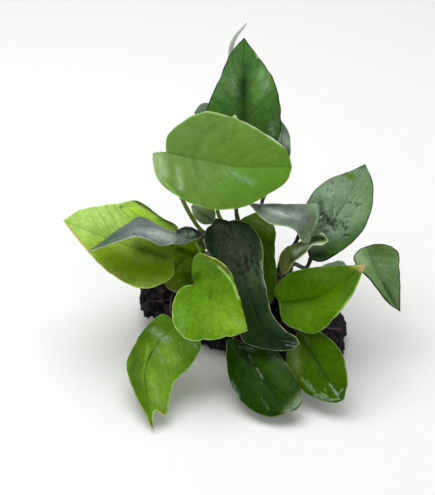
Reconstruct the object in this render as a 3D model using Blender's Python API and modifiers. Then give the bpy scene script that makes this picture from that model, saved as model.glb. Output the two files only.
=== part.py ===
"""Anubias on stone: a young broad-leaved water plant grown onto a piece of black lava stone.

The stone lies on its flat underside, whose middle is the origin. Tables are in millimetres.
"""

import math
from dataclasses import dataclass

import bmesh
import bpy
import numpy as np
from mathutils import Vector, noise
from mathutils.bvhtree import BVHTree

MM = 0.001
GAP = 0.3

# Stone
STONE_LENGTH = 84
STONE_DEPTH = 36
STONE_HEIGHT = 25
STONE_TURN = math.radians(24)
STONE_ROUNDING = 0.55
STONE_BULGE = 1.3
STONE_SUNK = 4
STONE_CUTS = (15, 7, 5)
LUMP_SIZE = 17
LUMP_HEIGHT = 3.2
CRAG_SIZE = 8
CRAG_HEIGHT = 2.6
CRAG_SHIFT = Vector((9, 4, 2))
LEFT_END_LIFT = 7
LEFT_END_START = 0.4
LEFT_END_SLOPE = 2.5
RIGHT_END_START = 0.7
RIGHT_END_DROP = 0.9

# Rhizome: it runs over the stone with a slight sway, and is knobbly and thinner at its ends
RHIZOME_RADIUS = 3.3
RHIZOME_FATTEST = 1.1
RHIZOME_TAPER = 0.35
RHIZOME_KNOBS = 0.08
RHIZOME_POINTS = 9
RHIZOME_HEIGHT = 32.4
RHIZOME_SAG = 1.8
RHIZOME_SWAY = 2.0
RHIZOME_WINDING = 7
RHIZOME_REACH = (-33, 35)

# Stalks: each rises from the rhizome and comes up to its blade from below and behind
STALK_RADIUS = 1.0
STALK_TAPER = (1.15, 0.9)
STALK_POINTS = 10
SHORT_STALK_POINTS = 6
STALK_RISE = 4
STALK_BELOW = 3.5
STALK_BEHIND = 0.3
STRAIGHT_BELOW = 1.8
STRAIGHT_BEHIND = 3.5
STALK_SWEEP = 15
STALK_CLEAR = 0.5

# Roots
ROOT_RADIUS = 0.7
ROOT_TAPER = (1, 0.7)
ROOT_POINTS = 8
ROOT_LIFT = 1.6
ROOT_FOOT = 100
ROOT_START = 32
ROOT_SWAY = 1.5
ROOT_WINDING = 5

# Leaf blades
BLADE_THICKNESS = 0.8
ROWS_ALONG = 9
ROWS_ACROSS = 6
RIB_LAG = 1.2
RIB_POINTS = 200
FULLNESS = 0.7
WAVE_SHIFT = 0.2
STEPS_PER_SPAN = 20

# The plant is laid out as it is seen from the front and from above. A place is across and up
# from the stone's foot, on a plane that faces the viewer, and near, out of it to the viewer.
VIEW_RISE = math.radians(32)
VIEW_DISTANCE = 650
VIEW_CENTRE = (-11, 37)

COLLECTION = "anubias_on_stone"


@dataclass
class Leaf:
    """A blade and its stalk. The rib holds places from the stalk to the tip. The edges, left and
    right of it for someone at the stalk, hold places across and up, between the rib's two ends.
    A straight stalk runs on into the rib, and any other meets the blade from below."""

    name: str
    colour: tuple
    rib: list
    left: list
    right: list
    lean: tuple = (0, 0)
    fold: float = 0.12
    arch: float = 0.06
    waves: tuple = (0, 0)
    foot: tuple = (0.5, 0)
    bends: tuple = ()
    straight: bool = False


DARK_GREEN = (0.03, 0.11, 0.02, 1)
MID_GREEN = (0.08, 0.24, 0.02, 1)
BRIGHT_GREEN = (0.16, 0.38, 0.02, 1)
OLIVE_GREEN = (0.13, 0.22, 0.02, 1)
GREY_GREEN = (0.07, 0.13, 0.07, 1)
BLACK_GREEN = (0.02, 0.05, 0.02, 1)
STONE_BLACK = (0.012, 0.012, 0.013, 1)
RHIZOME_GREEN = (0.14, 0.16, 0.04, 1)
ROOT_BROWN = (0.12, 0.06, 0.02, 1)
ROUGHNESS = {"blade": 0.35, "stalk": 0.4, "rhizome": 0.5, "root": 0.7, "stone": 0.9}

LEAVES = [
    Leaf(
        "top_leaf", DARK_GREEN,
        rib=[(2, 80, 24), (1, 105, 25), (1, 131.5, 18)],
        left=[(-8, 79), (-15, 88), (-16, 98), (-10.5, 112), (-4, 126)],
        right=[(10, 78), (16.5, 86), (17.5, 98), (14.5, 112), (5, 126)],
        foot=(0.50, -20), bends=((-2.5, 52, 18),), straight=True,
    ),
    Leaf(
        "round_leaf", MID_GREEN,
        rib=[(-34, 79.5, 38), (-22, 77.5, 41), (-3, 74, 42), (22.5, 73, 36)],
        left=[(-34, 86), (-27, 93.5), (-17, 98), (-4, 95.5), (10.5, 88), (20.5, 80)],
        right=[(-39, 79.5), (-38.5, 69), (-28, 59.5), (-14, 54.5), (0, 55), (12, 61), (21, 68)],
        lean=(-7, 7), fold=0.08,
        foot=(0.28, -5), bends=((-27, 59, 30), (-19.5, 46, 23)),
    ),
    Leaf(
        "left_leaf", BRIGHT_GREEN,
        rib=[(-31, 32, 28), (-44, 36, 31), (-62, 42, 31), (-80.5, 49, 27)],
        left=[(-31, 24.5), (-38, 19.8), (-45, 18.6), (-56, 23), (-68.5, 34), (-77.5, 45)],
        right=[(-30, 39), (-29, 46.4), (-36, 50.4), (-48.5, 58.3), (-56, 56.7), (-65, 55.7), (-73, 53.8)],
        lean=(7, -8),
        foot=(0.02, 0), bends=((-37.5, 29.5, 23), (-37.5, 37, 15)),
    ),
    Leaf(
        "wavy_leaf", GREY_GREEN,
        rib=[(-17, 43, 26), (-30, 43.5, 39), (-45, 46.5, 45), (-57, 41.5, 46), (-69.5, 35, 44)],
        left=[(-24.5, 39), (-34.5, 38.5), (-46.5, 41.5), (-57, 39.5), (-64.5, 36.5)],
        right=[(-24, 46.5), (-33, 44.5), (-39, 47), (-46, 50.6), (-52, 48), (-60, 41.5)],
        lean=(10, -8), fold=0.02, arch=0.02, waves=(2.5, 0.5),
        foot=(0.31, 45), bends=((-15.5, 37, 22.5),),
    ),
    Leaf(
        "olive_leaf", OLIVE_GREEN,
        rib=[(-19, 32.5, 20), (-25, 33, 18), (-31, 27, 19), (-34, 19, 22)],
        left=[(-18, 26), (-22, 20), (-29, 16.5)],
        right=[(-16.5, 35.5), (-17, 40), (-21, 42.5), (-27, 41.5), (-32, 36.5), (-35, 29), (-35.5, 23)],
        lean=(5, -4),
        foot=(0.17, 45),
    ),
    Leaf(
        "heart_leaf", BRIGHT_GREEN,
        rib=[(-21, 20, 50), (-10, 10, 55), (2.5, -0.5, 57)],
        left=[(-22.5, 26), (-19.5, 34.5), (-13, 32.5), (-6, 27.5), (-1.5, 16), (1, 6)],
        right=[(-27, 19), (-31.5, 9), (-30, 1), (-24, -4.5), (-13.5, -4.5), (-3, -2.5)],
        lean=(-6, 7), fold=0.1,
        foot=(0.37, 75),
    ),
    Leaf(
        "centre_leaf", BLACK_GREEN,
        rib=[(-6, 49, 32), (-1.5, 30, 38), (5, 12, 44), (10, 0, 49), (26, -6.5, 53)],
        left=[(-1, 49.5), (5, 46), (9.5, 38), (9.5, 26.5), (11, 17), (13, 8), (20, -0.5), (25, -4)],
        right=[
            (-11.5, 49.8), (-16, 45), (-17, 38.5), (-13.5, 33),
            (-5.5, 24), (-1, 10), (1, -5), (13, -9), (23, -8.6),
        ],
        lean=(2, -2), fold=0.1, waves=(1.5, 0.8),
        foot=(0.42, 15),
    ),
    Leaf(
        "middle_leaf", MID_GREEN,
        rib=[(3, 51.5, 25), (7, 40, 28), (10.5, 27, 31), (13, 11.5, 33)],
        left=[(7.5, 52.8), (12, 50), (15, 45.5), (14.8, 37), (15.3, 27), (15, 16)],
        right=[(-0.5, 49.5), (-2.5, 45), (-1, 36), (3.5, 26), (9, 17)],
        lean=(0, -1),
        foot=(0.55, -5), bends=((4, 38, 21),),
    ),
    Leaf(
        "grey_leaf", GREY_GREEN,
        rib=[(31, 43, 40), (25, 49, 43), (15, 52, 42), (2.5, 57, 36)],
        left=[(28, 39.5), (24, 44), (16, 47.5), (9, 50.5)],
        right=[(33.5, 48), (34, 57), (28, 57), (19.5, 56), (10, 56.5)],
        lean=(9, -9), fold=0.04, arch=0.02, waves=(1.5, 0.8),
        foot=(0.74, -15), bends=((26.5, 43.5, 33.5), (24, 39, 27)),
    ),
    Leaf(
        "curled_leaf", GREY_GREEN,
        rib=[(18.5, 25, 32), (21.5, 32, 34), (27.5, 37, 34), (33.5, 40, 33), (39, 40, 31)],
        left=[(16.5, 31), (18.5, 36), (26, 39.5), (32, 42), (36, 43.5)],
        right=[(20.5, 26), (23.5, 30.5), (29, 35), (32, 38), (36, 38)],
        lean=(-4, 4), fold=0.3, arch=0.02,
        foot=(0.72, 20), straight=True,
    ),
    Leaf(
        "right_leaf", GREY_GREEN,
        rib=[(30.5, 32, 20), (42, 50, 21), (50, 64, 16), (55.5, 74.5, 10)],
        left=[(28, 41), (27.5, 50), (30, 59), (38, 67), (49, 71.5)],
        right=[(34, 30.5), (43.5, 34.6), (50, 39.5), (55.2, 46), (58.7, 56), (59, 66)],
        lean=(-4, 5),
        foot=(0.81, -25), straight=True,
    ),
    Leaf(
        "far_right_leaf", GREY_GREEN,
        rib=[(56, 37.5, 29), (60, 27, 32), (65, 17, 33), (71.3, 8, 31)],
        left=[(60, 38.6), (66, 38), (70, 35.5), (71, 28), (71.3, 18)],
        right=[(53, 36.3), (50.2, 32.5), (51.5, 28.5), (57.5, 22.5), (62, 16.2), (66.8, 11)],
        lean=(4, 2),
        foot=(0.97, -60), bends=((54, 31, 22), (47, 26, 20)),
    ),
    Leaf(
        "small_leaf", GREY_GREEN,
        rib=[(31, 20, 37), (38, 25, 38), (48, 28, 35)],
        left=[(33, 26), (40, 30.5), (45, 31)],
        right=[(35, 18), (41, 19), (46, 24)],
        foot=(0.94, 45),
    ),
    Leaf(
        "green_leaf", BRIGHT_GREEN,
        rib=[(17, 12, 43), (33.5, 15, 49), (46, 22, 49), (55.5, 29, 44)],
        left=[(14.5, 17), (21.5, 25.5), (32, 28), (45, 29)],
        right=[(18, 4.5), (26, -0.5), (33, -1.5), (42, 5.5), (50, 16)],
        lean=(-7, 7), fold=0.1,
        foot=(0.80, 95),
    ),
    Leaf(
        "lower_right_leaf", MID_GREEN,
        rib=[(25, -2, 45), (33, -14, 51), (42, -27, 57), (46, -31.5, 58)],
        left=[(30, 0.5), (39, -3.5), (46, -13), (47.5, -24)],
        right=[(21, -7), (20, -15), (26, -26), (36, -32), (42, -33)],
        lean=(3, -2), fold=0.1,
        foot=(0.88, 95), bends=((26, 7, 41.5),), straight=True,
    ),
    Leaf(
        "lower_leaf", DARK_GREEN,
        rib=[(-1, -6, 37), (4, -13, 44), (11, -24, 54), (19, -38, 61)],
        left=[(7, -6.5), (14.5, -9), (20, -15.5), (26, -25), (27.6, -31), (25, -35.7)],
        right=[(-6, -4), (-7, -12), (-5, -24), (2, -34.5), (8, -38), (13.5, -39.3)],
        lean=(2, 1), fold=0.06,
        foot=(0.53, 95), bends=((-1, 8, 32),), straight=True,
    ),
    Leaf(
        "torn_leaf", MID_GREEN,
        rib=[(-29, 3, 33), (-38, -5, 41), (-44, -18, 50), (-43, -30, 57), (-40, -45, 63)],
        left=[(-22, 0), (-18.5, -6.5), (-22, -15), (-30.5, -24), (-33, -33), (-34.5, -38.5), (-38.6, -36.5)],
        right=[(-36, 7), (-41, 3.5), (-48, -5.5), (-52, -16), (-49, -27), (-43.5, -38)],
        lean=(4, -1), fold=0.2,
        foot=(0.29, 100), bends=((-18, 13, 29),), straight=True,
    ),
    Leaf(
        "young_leaf", GREY_GREEN,
        rib=[(-12.5, 47.5, 14), (-17, 52, 15), (-23, 55.5, 13)],
        left=[(-17, 47.5), (-21.5, 50.5)],
        right=[(-12, 53), (-16, 57), (-20.5, 57.5)],
        foot=(0.33, -15), straight=True,
    ),
    Leaf(
        "back_left_leaf", GREY_GREEN,
        rib=[(-10, 87, 12), (-15.5, 93, 12), (-21.5, 97.5, 9)],
        left=[(-13, 86), (-19, 90)],
        right=[(-8.5, 94), (-12, 101), (-18, 102)],
        foot=(0.40, -60), bends=((-10.8, 52.5, 10),), straight=True,
    ),
    Leaf(
        "back_right_leaf", GREY_GREEN,
        rib=[(17.5, 74, 11), (18, 84, 12), (17, 95, 8)],
        left=[(13, 76), (11, 84), (13, 91)],
        right=[(20, 75), (22, 82), (21, 89)],
        foot=(0.64, -40), bends=((9.5, 59, 13),), straight=True,
    ),
    Leaf(
        "wisp_leaf", GREY_GREEN,
        rib=[(-3, 104, 7), (-4.5, 118, 7), (-4.5, 128, 8), (2.3, 138.3, 10)],
        left=[(-5, 112), (-6, 121), (-5.2, 129)],
        right=[(-3, 112), (-4.2, 121), (-3.2, 129)],
        lean=(4, -4), fold=0.02, arch=0.0,
        foot=(0.48, -75), bends=((-3, 84, 5), (-2.5, 53, 7)), straight=True,
    ),
]

# Roots clasp the stone: the place along it, the drift along it, and how far round they reach
# in degrees from the top, to the front and, below zero, to the back.
ROOTS = [(-27, 4, 85), (-7, 4, 95), (9, -3, 80), (15, 3, 95), (33, 2, 60), (-15, 5, -85), (21, -5, -90)]


def seen(across, up, near):
    """The point, in millimetres, that the viewer sees at this place across and up."""
    shrink = 1 - near / VIEW_DISTANCE
    across = VIEW_CENTRE[0] + (across - VIEW_CENTRE[0]) * shrink
    up = VIEW_CENTRE[1] + (up - VIEW_CENTRE[1]) * shrink
    back = up * math.sin(VIEW_RISE) - near * math.cos(VIEW_RISE)
    height = up * math.cos(VIEW_RISE) + near * math.sin(VIEW_RISE)
    return np.array((across, back, height))


def smooth_path(points, count):
    """Evenly spaced points on a smooth curve through the given ones."""
    points = np.array(points, float)
    chords = np.diff(points, axis=0)
    steps = np.linalg.norm(chords, axis=1)[:, None]
    slopes = chords / steps
    inner = (slopes[:-1] * steps[1:] + slopes[1:] * steps[:-1]) / (steps[:-1] + steps[1:])
    tangents = np.vstack([slopes[:1], inner, slopes[-1:]])
    parts = []
    for i, step in enumerate(steps):
        for u in np.linspace(0, 1, STEPS_PER_SPAN, endpoint=False):
            start = (2 * u**3 - 3 * u**2 + 1) * points[i] + (u**3 - 2 * u**2 + u) * step * tangents[i]
            end = (3 * u**2 - 2 * u**3) * points[i + 1] + (u**3 - u**2) * step * tangents[i + 1]
            parts.append(start + end)
    parts = np.array(parts + [points[-1]])
    run = np.concatenate([[0], np.cumsum(np.linalg.norm(np.diff(parts, axis=0), axis=1))])
    places = np.linspace(0, run[-1], count)
    return np.column_stack([np.interp(places, run, column) for column in parts.T])


def unit(vector):
    return vector / max(np.linalg.norm(vector), 1e-9)


def leaf_rows(leaf, along, across):
    """The blade's middle surface: rows from the stalk to the tip, each from left to right."""
    t = np.linspace(0, 1, along + 1)
    fine_rib = smooth_path(leaf.rib, RIB_POINTS)
    lag = t**RIB_LAG * (RIB_POINTS - 1)
    rib = np.column_stack([np.interp(lag, range(RIB_POINTS), column) for column in fine_rib.T])
    ends = leaf.rib[0][:2], leaf.rib[-1][:2]
    window = np.sin(math.pi * t) ** FULLNESS
    edges = []
    for points, lean in ((leaf.left, leaf.lean[0]), (leaf.right, leaf.lean[1])):
        flat = smooth_path([ends[0], *points, ends[1]], along + 1)
        edges.append(np.column_stack([flat, rib[:, 2] + lean * window]))
    rows = []
    ups = []
    for i in range(along + 1):
        low, high = max(i - 1, 0), min(i + 1, along)
        forward = seen(*rib[high]) - seen(*rib[low])
        width = seen(*edges[1][i]) - seen(*edges[0][i])
        ups.append(np.cross(width, forward) if 0 < i < along else None)
    ups[0], ups[-1] = ups[1], ups[-2]
    count, height = leaf.waves
    for i in range(along + 1):
        row = []
        for j in range(across + 1):
            s = 2 * j / across - 1
            edge = edges[0][i] if s < 0 else edges[1][i]
            place = seen(*(rib[i] + (edge - rib[i]) * abs(s)))
            width = np.linalg.norm(edge - rib[i])
            rise = 4 * leaf.arch * abs(s) * (1 - abs(s)) - leaf.fold * (1 - abs(s)) * window[i]
            phase = math.tau * (count * t[i] + WAVE_SHIFT * np.sign(s))
            ripple = height * math.sin(phase) * s**2 * window[i]
            row.append(place + unit(ups[i]) * (rise * width + ripple))
        rows.append(row)
    return np.array(rows), unit(ups[0])


def add_object(name, data, colour, finish):
    """An object with a material of its own, in the plant's collection."""
    made = bpy.data.objects.new(name, data)
    material = bpy.data.materials.new(name)
    material.use_nodes = True
    shader = material.node_tree.nodes["Principled BSDF"]
    shader.inputs["Base Color"].default_value = colour
    shader.inputs["Roughness"].default_value = ROUGHNESS[finish]
    data.materials.append(material)
    bpy.data.collections[COLLECTION].objects.link(made)
    return made


def add_blade(leaf):
    """A grid bent to the blade's middle surface, with Solidify for its thickness."""
    rows, _ = leaf_rows(leaf, ROWS_ALONG, ROWS_ACROSS)
    mesh = bpy.data.meshes.new(leaf.name)
    bm = bmesh.new()
    bmesh.ops.create_grid(bm, x_segments=ROWS_ACROSS, y_segments=ROWS_ALONG, size=1)
    for vertex in bm.verts:
        j = round((vertex.co.x + 1) / 2 * ROWS_ACROSS)
        i = round((vertex.co.y + 1) / 2 * ROWS_ALONG)
        vertex.co = Vector(rows[i][j]) * MM
    bmesh.ops.remove_doubles(bm, verts=bm.verts, dist=1e-6)
    bm.to_mesh(mesh)
    bm.free()
    mesh.shade_smooth()
    blade = add_object(leaf.name, mesh, leaf.colour, "blade")
    shell = blade.modifiers.new("thickness", "SOLIDIFY")
    shell.thickness = BLADE_THICKNESS * MM
    shell.offset = 0


def add_tube(name, points, radii, colour, finish, roundness=1):
    """A stem through the points, as a bevelled curve whose radius may change along it."""
    curve = bpy.data.curves.new(name, "CURVE")
    curve.dimensions = "3D"
    curve.bevel_depth = MM
    curve.bevel_resolution = roundness
    curve.use_fill_caps = True
    spline = curve.splines.new("POLY")
    spline.points.add(len(points) - 1)
    for point, place, radius in zip(spline.points, points, radii):
        point.co = (*(np.array(place) * MM), 1)
        point.radius = radius
    add_object(name, curve, colour, finish)


def along_stone(run, side, height):
    """A place in millimetres, so far along the stone, to its front side, and over the ground."""
    turn = STONE_TURN
    return np.array(
        (
            run * math.cos(turn) - side * math.sin(turn),
            -run * math.sin(turn) - side * math.cos(turn),
            height,
        )
    )


def rhizome_place(fraction):
    """The middle of the rhizome at this fraction of its length, in millimetres."""
    run = RHIZOME_REACH[0] + fraction * (RHIZOME_REACH[1] - RHIZOME_REACH[0])
    sway = RHIZOME_SWAY * math.sin(fraction * RHIZOME_WINDING)
    sag = RHIZOME_SAG * (2 * fraction - 1) ** 2
    return along_stone(run, -sway, RHIZOME_HEIGHT - sag)


def rhizome_outward(angle):
    """The direction out of the rhizome: 0 is straight up, 90 is level towards the viewer."""
    lean = math.radians(angle)
    return along_stone(0, math.sin(lean), math.cos(lean))


def add_rhizome():
    fractions = np.linspace(0, 1, RHIZOME_POINTS)
    tapers = RHIZOME_TAPER * (2 * fractions - 1) ** 4
    knobs = RHIZOME_KNOBS * np.sin(RHIZOME_POINTS * fractions)
    radii = RHIZOME_RADIUS * (1 - tapers + knobs)
    path = [rhizome_place(fraction) for fraction in fractions]
    add_tube("rhizome", path, radii, RHIZOME_GREEN, "rhizome", 3)


def add_stalk(leaf):
    """A stalk from the rhizome to the underside of its blade, where the rib starts."""
    rows, up = leaf_rows(leaf, ROWS_ALONG, ROWS_ACROSS)
    middle = ROWS_ACROSS // 2
    forward = unit(rows[1][middle] - rows[0][middle])
    fraction, angle = leaf.foot
    outward = rhizome_outward(angle)
    clear = STALK_RADIUS + BLADE_THICKNESS / 2 + GAP
    foot = rhizome_place(fraction) + outward * (RHIZOME_RADIUS * RHIZOME_FATTEST + STALK_CLEAR)
    head = rows[0][middle] - up * clear - forward * STALK_CLEAR
    sweep = min(1, np.linalg.norm(head - foot) / STALK_SWEEP)
    if leaf.straight:
        below = head - (up * STRAIGHT_BELOW + forward * STRAIGHT_BEHIND) * sweep
    else:
        below = head - (up * STALK_BELOW + forward * STALK_BEHIND) * sweep
    bends = [seen(*bend) for bend in leaf.bends]
    above = foot + outward * STALK_RISE * sweep
    count = STALK_POINTS if sweep == 1 else SHORT_STALK_POINTS
    path = smooth_path([foot, above, *bends[::-1], below, head], count)
    radii = np.linspace(*STALK_TAPER, count) * STALK_RADIUS
    add_tube(leaf.name + "_stalk", path, radii, OLIVE_GREEN, "stalk")


def stone_point(cube_point):
    """A point of the stone's skin, in millimetres, from a point of a cube of half side 1."""
    flat = Vector(cube_point)
    ball = flat.normalized() * STONE_BULGE
    shape = flat.lerp(ball, STONE_ROUNDING)
    half = Vector((STONE_LENGTH / 2, STONE_DEPTH / 2, STONE_HEIGHT / 2 + STONE_SUNK / 2))
    place = Vector(a * b for a, b in zip(shape, half))
    outward = Vector(a / b for a, b in zip(shape, half)).normalized()
    lumps = noise.noise(place / LUMP_SIZE) * LUMP_HEIGHT
    crags = noise.noise(place / CRAG_SIZE + CRAG_SHIFT) * CRAG_HEIGHT
    place += outward * (lumps + crags)
    place.z += STONE_HEIGHT / 2 - STONE_SUNK / 2
    along = place.x / (STONE_LENGTH / 2)
    place.z *= 1 - RIGHT_END_DROP * max(0, along - RIGHT_END_START)
    end = max(0, -along - LEFT_END_START)
    place.z = max(place.z, LEFT_END_LIFT * min(1, LEFT_END_SLOPE * end))
    return Vector(along_stone(place.x, -place.y, place.z))


def add_stone():
    """The stone. Returns its skin, in metres, for the roots to lie on."""
    mesh = bpy.data.meshes.new("stone")
    bm = bmesh.new()
    bmesh.ops.create_cube(bm, size=2)
    for axis, cuts in enumerate(STONE_CUTS):
        edges = [edge for edge in bm.edges if abs(edge.verts[0].co[axis] - edge.verts[1].co[axis]) > 1]
        bmesh.ops.subdivide_edges(bm, edges=edges, cuts=cuts, use_grid_fill=True)
    for vertex in bm.verts:
        vertex.co = stone_point(vertex.co) * MM
    bmesh.ops.triangulate(bm, faces=bm.faces)
    bm.to_mesh(mesh)
    skin = BVHTree.FromBMesh(bm)
    bm.free()
    add_object("stone", mesh, STONE_BLACK, "stone")
    return skin


def add_roots(skin):
    """Wiry roots that leave the rhizome and clasp the stone, each point lifted off its skin."""
    from_rhizome = RHIZOME_RADIUS * RHIZOME_FATTEST + ROOT_RADIUS
    for number, (run, drift, reach) in enumerate(ROOTS, 1):
        fraction = (run - RHIZOME_REACH[0]) / (RHIZOME_REACH[1] - RHIZOME_REACH[0])
        foot = rhizome_outward(math.copysign(ROOT_FOOT, reach)) * from_rhizome
        path = [rhizome_place(fraction) + foot]
        for step in np.linspace(0, 1, ROOT_POINTS):
            angle = math.copysign(ROOT_START, reach) * (1 - step) + reach * step
            place = run + drift * step + ROOT_SWAY * math.sin(ROOT_WINDING * step + number)
            outward = rhizome_outward(angle)
            outside = along_stone(place, 0, STONE_HEIGHT / 2) + outward * STONE_LENGTH
            hit, normal, _, _ = skin.ray_cast(Vector(outside) * MM, Vector(-outward))
            path.append(np.array(hit) / MM + np.array(normal) * ROOT_LIFT)
        path = smooth_path(path, ROOT_POINTS + 3)
        radii = np.linspace(*ROOT_TAPER, len(path)) * ROOT_RADIUS
        add_tube(f"root_{number}", path, radii, ROOT_BROWN, "root")


def main():
    for old in list(bpy.data.objects):
        bpy.data.objects.remove(old)
    collection = bpy.data.collections.new(COLLECTION)
    bpy.context.scene.collection.children.link(collection)
    skin = add_stone()
    add_rhizome()
    add_roots(skin)
    for leaf in LEAVES:
        add_blade(leaf)
        add_stalk(leaf)


main()
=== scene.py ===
"""Anubias on stone, dressed: real blades, stalks, rhizome, roots and porous stone over the CAD frame.

The plant is laid out as in the CAD model. A place is across and up, in millimetres, on a plane
that faces the viewer, and near, out of that plane to the viewer. Lengths are in millimetres and
colours are as a screen shows them, from 0 to 255, unless a comment says otherwise.
"""

import math
from dataclasses import dataclass

import bpy
import numpy as np
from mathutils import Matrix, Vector, noise
from mathutils.bvhtree import BVHTree


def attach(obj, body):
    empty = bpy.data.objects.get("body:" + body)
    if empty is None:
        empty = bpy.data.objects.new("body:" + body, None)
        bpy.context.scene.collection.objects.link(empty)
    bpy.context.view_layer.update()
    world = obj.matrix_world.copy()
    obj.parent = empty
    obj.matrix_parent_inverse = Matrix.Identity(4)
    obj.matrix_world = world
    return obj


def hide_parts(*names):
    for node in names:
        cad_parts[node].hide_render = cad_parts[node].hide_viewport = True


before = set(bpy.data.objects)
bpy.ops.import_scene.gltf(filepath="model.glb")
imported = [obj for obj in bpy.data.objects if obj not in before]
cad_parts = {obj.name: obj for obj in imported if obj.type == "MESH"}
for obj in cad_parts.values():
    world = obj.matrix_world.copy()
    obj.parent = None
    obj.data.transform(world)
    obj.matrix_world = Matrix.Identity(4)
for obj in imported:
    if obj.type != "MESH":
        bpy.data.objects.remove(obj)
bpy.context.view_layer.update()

MM = 0.001

# View
VIEW_RISE = math.radians(32)
VIEW_DISTANCE = 650
VIEW_CENTRE = np.array((-11, 37))
VIEW_HEIGHT = 222.75
SENSOR = 36
CLIP_START = 0.01

# Stone, as in the CAD model apart from its lower right end
STONE_LENGTH = 84
STONE_DEPTH = 36
STONE_HEIGHT = 25
STONE_TURN = math.radians(24)
STONE_ROUNDING = 0.55
STONE_BULGE = 1.3
STONE_SUNK = 4
LUMP_SIZE = 17
LUMP_HEIGHT = 3.2
CRAG_SIZE = 8
CRAG_HEIGHT = 2.6
CRAG_SHIFT = np.array((9, 4, 2))
LEFT_END_LIFT = 7
LEFT_END_START = 0.4
LEFT_END_SLOPE = 2.5
RIGHT_END_START = 0.74
RIGHT_END_DROP = 1.8

# Stone's fine skin: cells along, across and up, two crusts as size, height, shift and octaves of
# their noise, and burst bubbles
STONE_CELLS = (170, 76, 56)
CRUSTS = ((4.5, 0.8, 31.0, 5), (1.8, 0.35, 17.0, 3))
FLAT_CRUST = 0.6
BUBBLE_SEED = 11
BUBBLE_COUNT = 760
BUBBLE_LEAST = 0.8
BUBBLE_SPREAD = 2.4
BUBBLE_DEPTH = 0.75
LIP_HEIGHT = 0.12
LIP_PLACE = 1.1
LIP_WIDTH = 0.12
BUBBLE_REACH = 1.25
BUBBLE_SHARED = 0.5
OUTSIDE_BOWL = 10
ON_GROUND = 0.01

# Round stems: domed ends, as shares of the radius, and the scale of the skin's grain round and along
DOME_REACH = 0.7
DOME_RADIUS = 0.55
SKIN_TURN = 1.5
SKIN_SHIFT = 7
SKIN_RUN = 0.12

# Rhizome
RHIZOME_RADIUS = 3.3
RHIZOME_FATTEST = 1.1
RHIZOME_HEIGHT = 32.4
RHIZOME_SAG = 1.8
RHIZOME_SWAY = 2.0
RHIZOME_WINDING = 7
RHIZOME_REACH = (-33, 35)
RHIZOME_WIDTH = 0.97
RHIZOME_TAPER = 0.35
RHIZOME_KNOBS = 0.08
RHIZOME_KNOB_WINDING = 9
RHIZOME_RINGS = 0.07
RHIZOME_RING_WINDINGS = (34, 13)
RHIZOME_RING_CURVE = 0.6
RHIZOME_UNEVEN = 0.05
RHIZOME_POINTS = 120
RHIZOME_SIDES = 28
RHIZOME_COLOUR = (104, 104, 54)
RHIZOME_TIP_COLOUR = (132, 150, 70)
RHIZOME_OLD_COLOUR = (78, 66, 40)

# Stalks
STALK_RADIUS = 1.0
STALK_RISE = 4
STALK_BELOW = 3.5
STALK_BEHIND = 0.3
STRAIGHT_BELOW = 1.8
STRAIGHT_BEHIND = 3.5
STALK_SWEEP = 15
STALK_CLEAR = 0.5
STALK_HEAD_GAP = 1.7
STALK_ROOTED = 0.6
STALK_POINTS = 56
STALK_SIDES = 14
STALK_START = 0.98
STALK_THINNING = 0.16
STALK_END = (0.92, 0.7)
STALK_UNEVEN = 0.04
SOCKET_REACH = 1.2
SOCKET_DEPTH = 0.45
STALK_FOOT_COLOUR = (92, 100, 50)
FOOT_TINT = 0.5
FOOT_TINT_LENGTH = 0.25
HEAD_TINT = 0.35
HEAD_TINT_LENGTH = 0.12
SHEATH_SWELL = 0.4
SHEATH_LENGTH = 0.08
JOINT_SWELL = 0.22
JOINT_PLACE = 0.93
JOINT_LENGTH = 0.05

# Roots: place along the rhizome, drift, and how far round the stone, in degrees
ROOTS = [(-27, 4, 85), (-7, 4, 95), (9, -3, 80), (15, 3, 95), (33, 2, 60), (-15, 5, -85), (21, -5, -90)]
ROOT_RADII = (0.72, 0.4)
BRANCH_RADII = (0.34, 0.14)
ROOT_POINTS = 70
BRANCH_POINTS = 26
ROOT_SIDES = 9
ROOT_UNEVEN = 0.12
ROOT_LIFT = 0.9
BRANCH_LIFT = 0.5
ROOT_FOOT = 100
ROOT_FOOT_DEPTH = 0.7
ROOT_STEPS = 8
BRANCH_STEPS = 6
ROOT_START = 32
ROOT_LOWEST = 0.8
BRANCH_COUNT = 4
BRANCH_FIRST = 0.3
BRANCH_STEP = 0.17
BRANCH_LENGTH = 0.22
BRANCH_SPREAD = 7
BRANCH_SPREAD_GAIN = 2
BRANCH_CURVE = 1.3
BRANCH_FURTHEST = 1.05
ROOT_SWAY = 1.5
ROOT_WINDING = 5
ROOT_COLOUR = (70, 52, 40)
ROOT_TIP_COLOUR = (112, 82, 58)

# Blades, as in the CAD model
RIB_LAG = 1.2
FULLNESS = 0.7
WAVE_SHIFT = 0.2
STEPS_PER_SPAN = 20

# Fine blades: extra columns near the rib and the rim
EXTRA_COLUMNS = (0.012, 0.03, 0.97, 0.985, 0.995)
SKIN_HALF = 0.27
RIM_ROUNDING = 0.4
MARGIN_WOBBLE = 0.4
MARGIN_SIZE = 3.5
SWAY_SIZE = 9
FLUTTER_SIZE = 4.5
FLUTTER_HEIGHT = 0.8
FLUTTER_REACH = 2.5
END_FADE = 0.06
VEIN_WIDTH = 0.13
VEIN_SLANT = 0.3
RIB_WIDTH = 0.55
GROOVE_WIDTH = 0.6
RIDGE_WIDTH = 0.7
RIDGE_HEIGHT = 0.75
VEIN_CLEAR = 1.5
CREASE_FADE = 0.6
CREASE_LEAST = 0.4
VEIN_CURVE = 0.9
VEIN_OFFSET = 0.37
QUILT_RISE = 0.4
QUILT_BELOW = 0.8
SWAY_SHIFT = 3.7
SWAY_FADE = 4
SWAY_LEAST = 0.35
FLUTTER_SHIFT = 5.1
FLUTTER_START = 40
GROOVE_LOSS = 0.75
RIDGE_LOSS = 0.85
RIDGE_CURVE = 1.3
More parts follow.
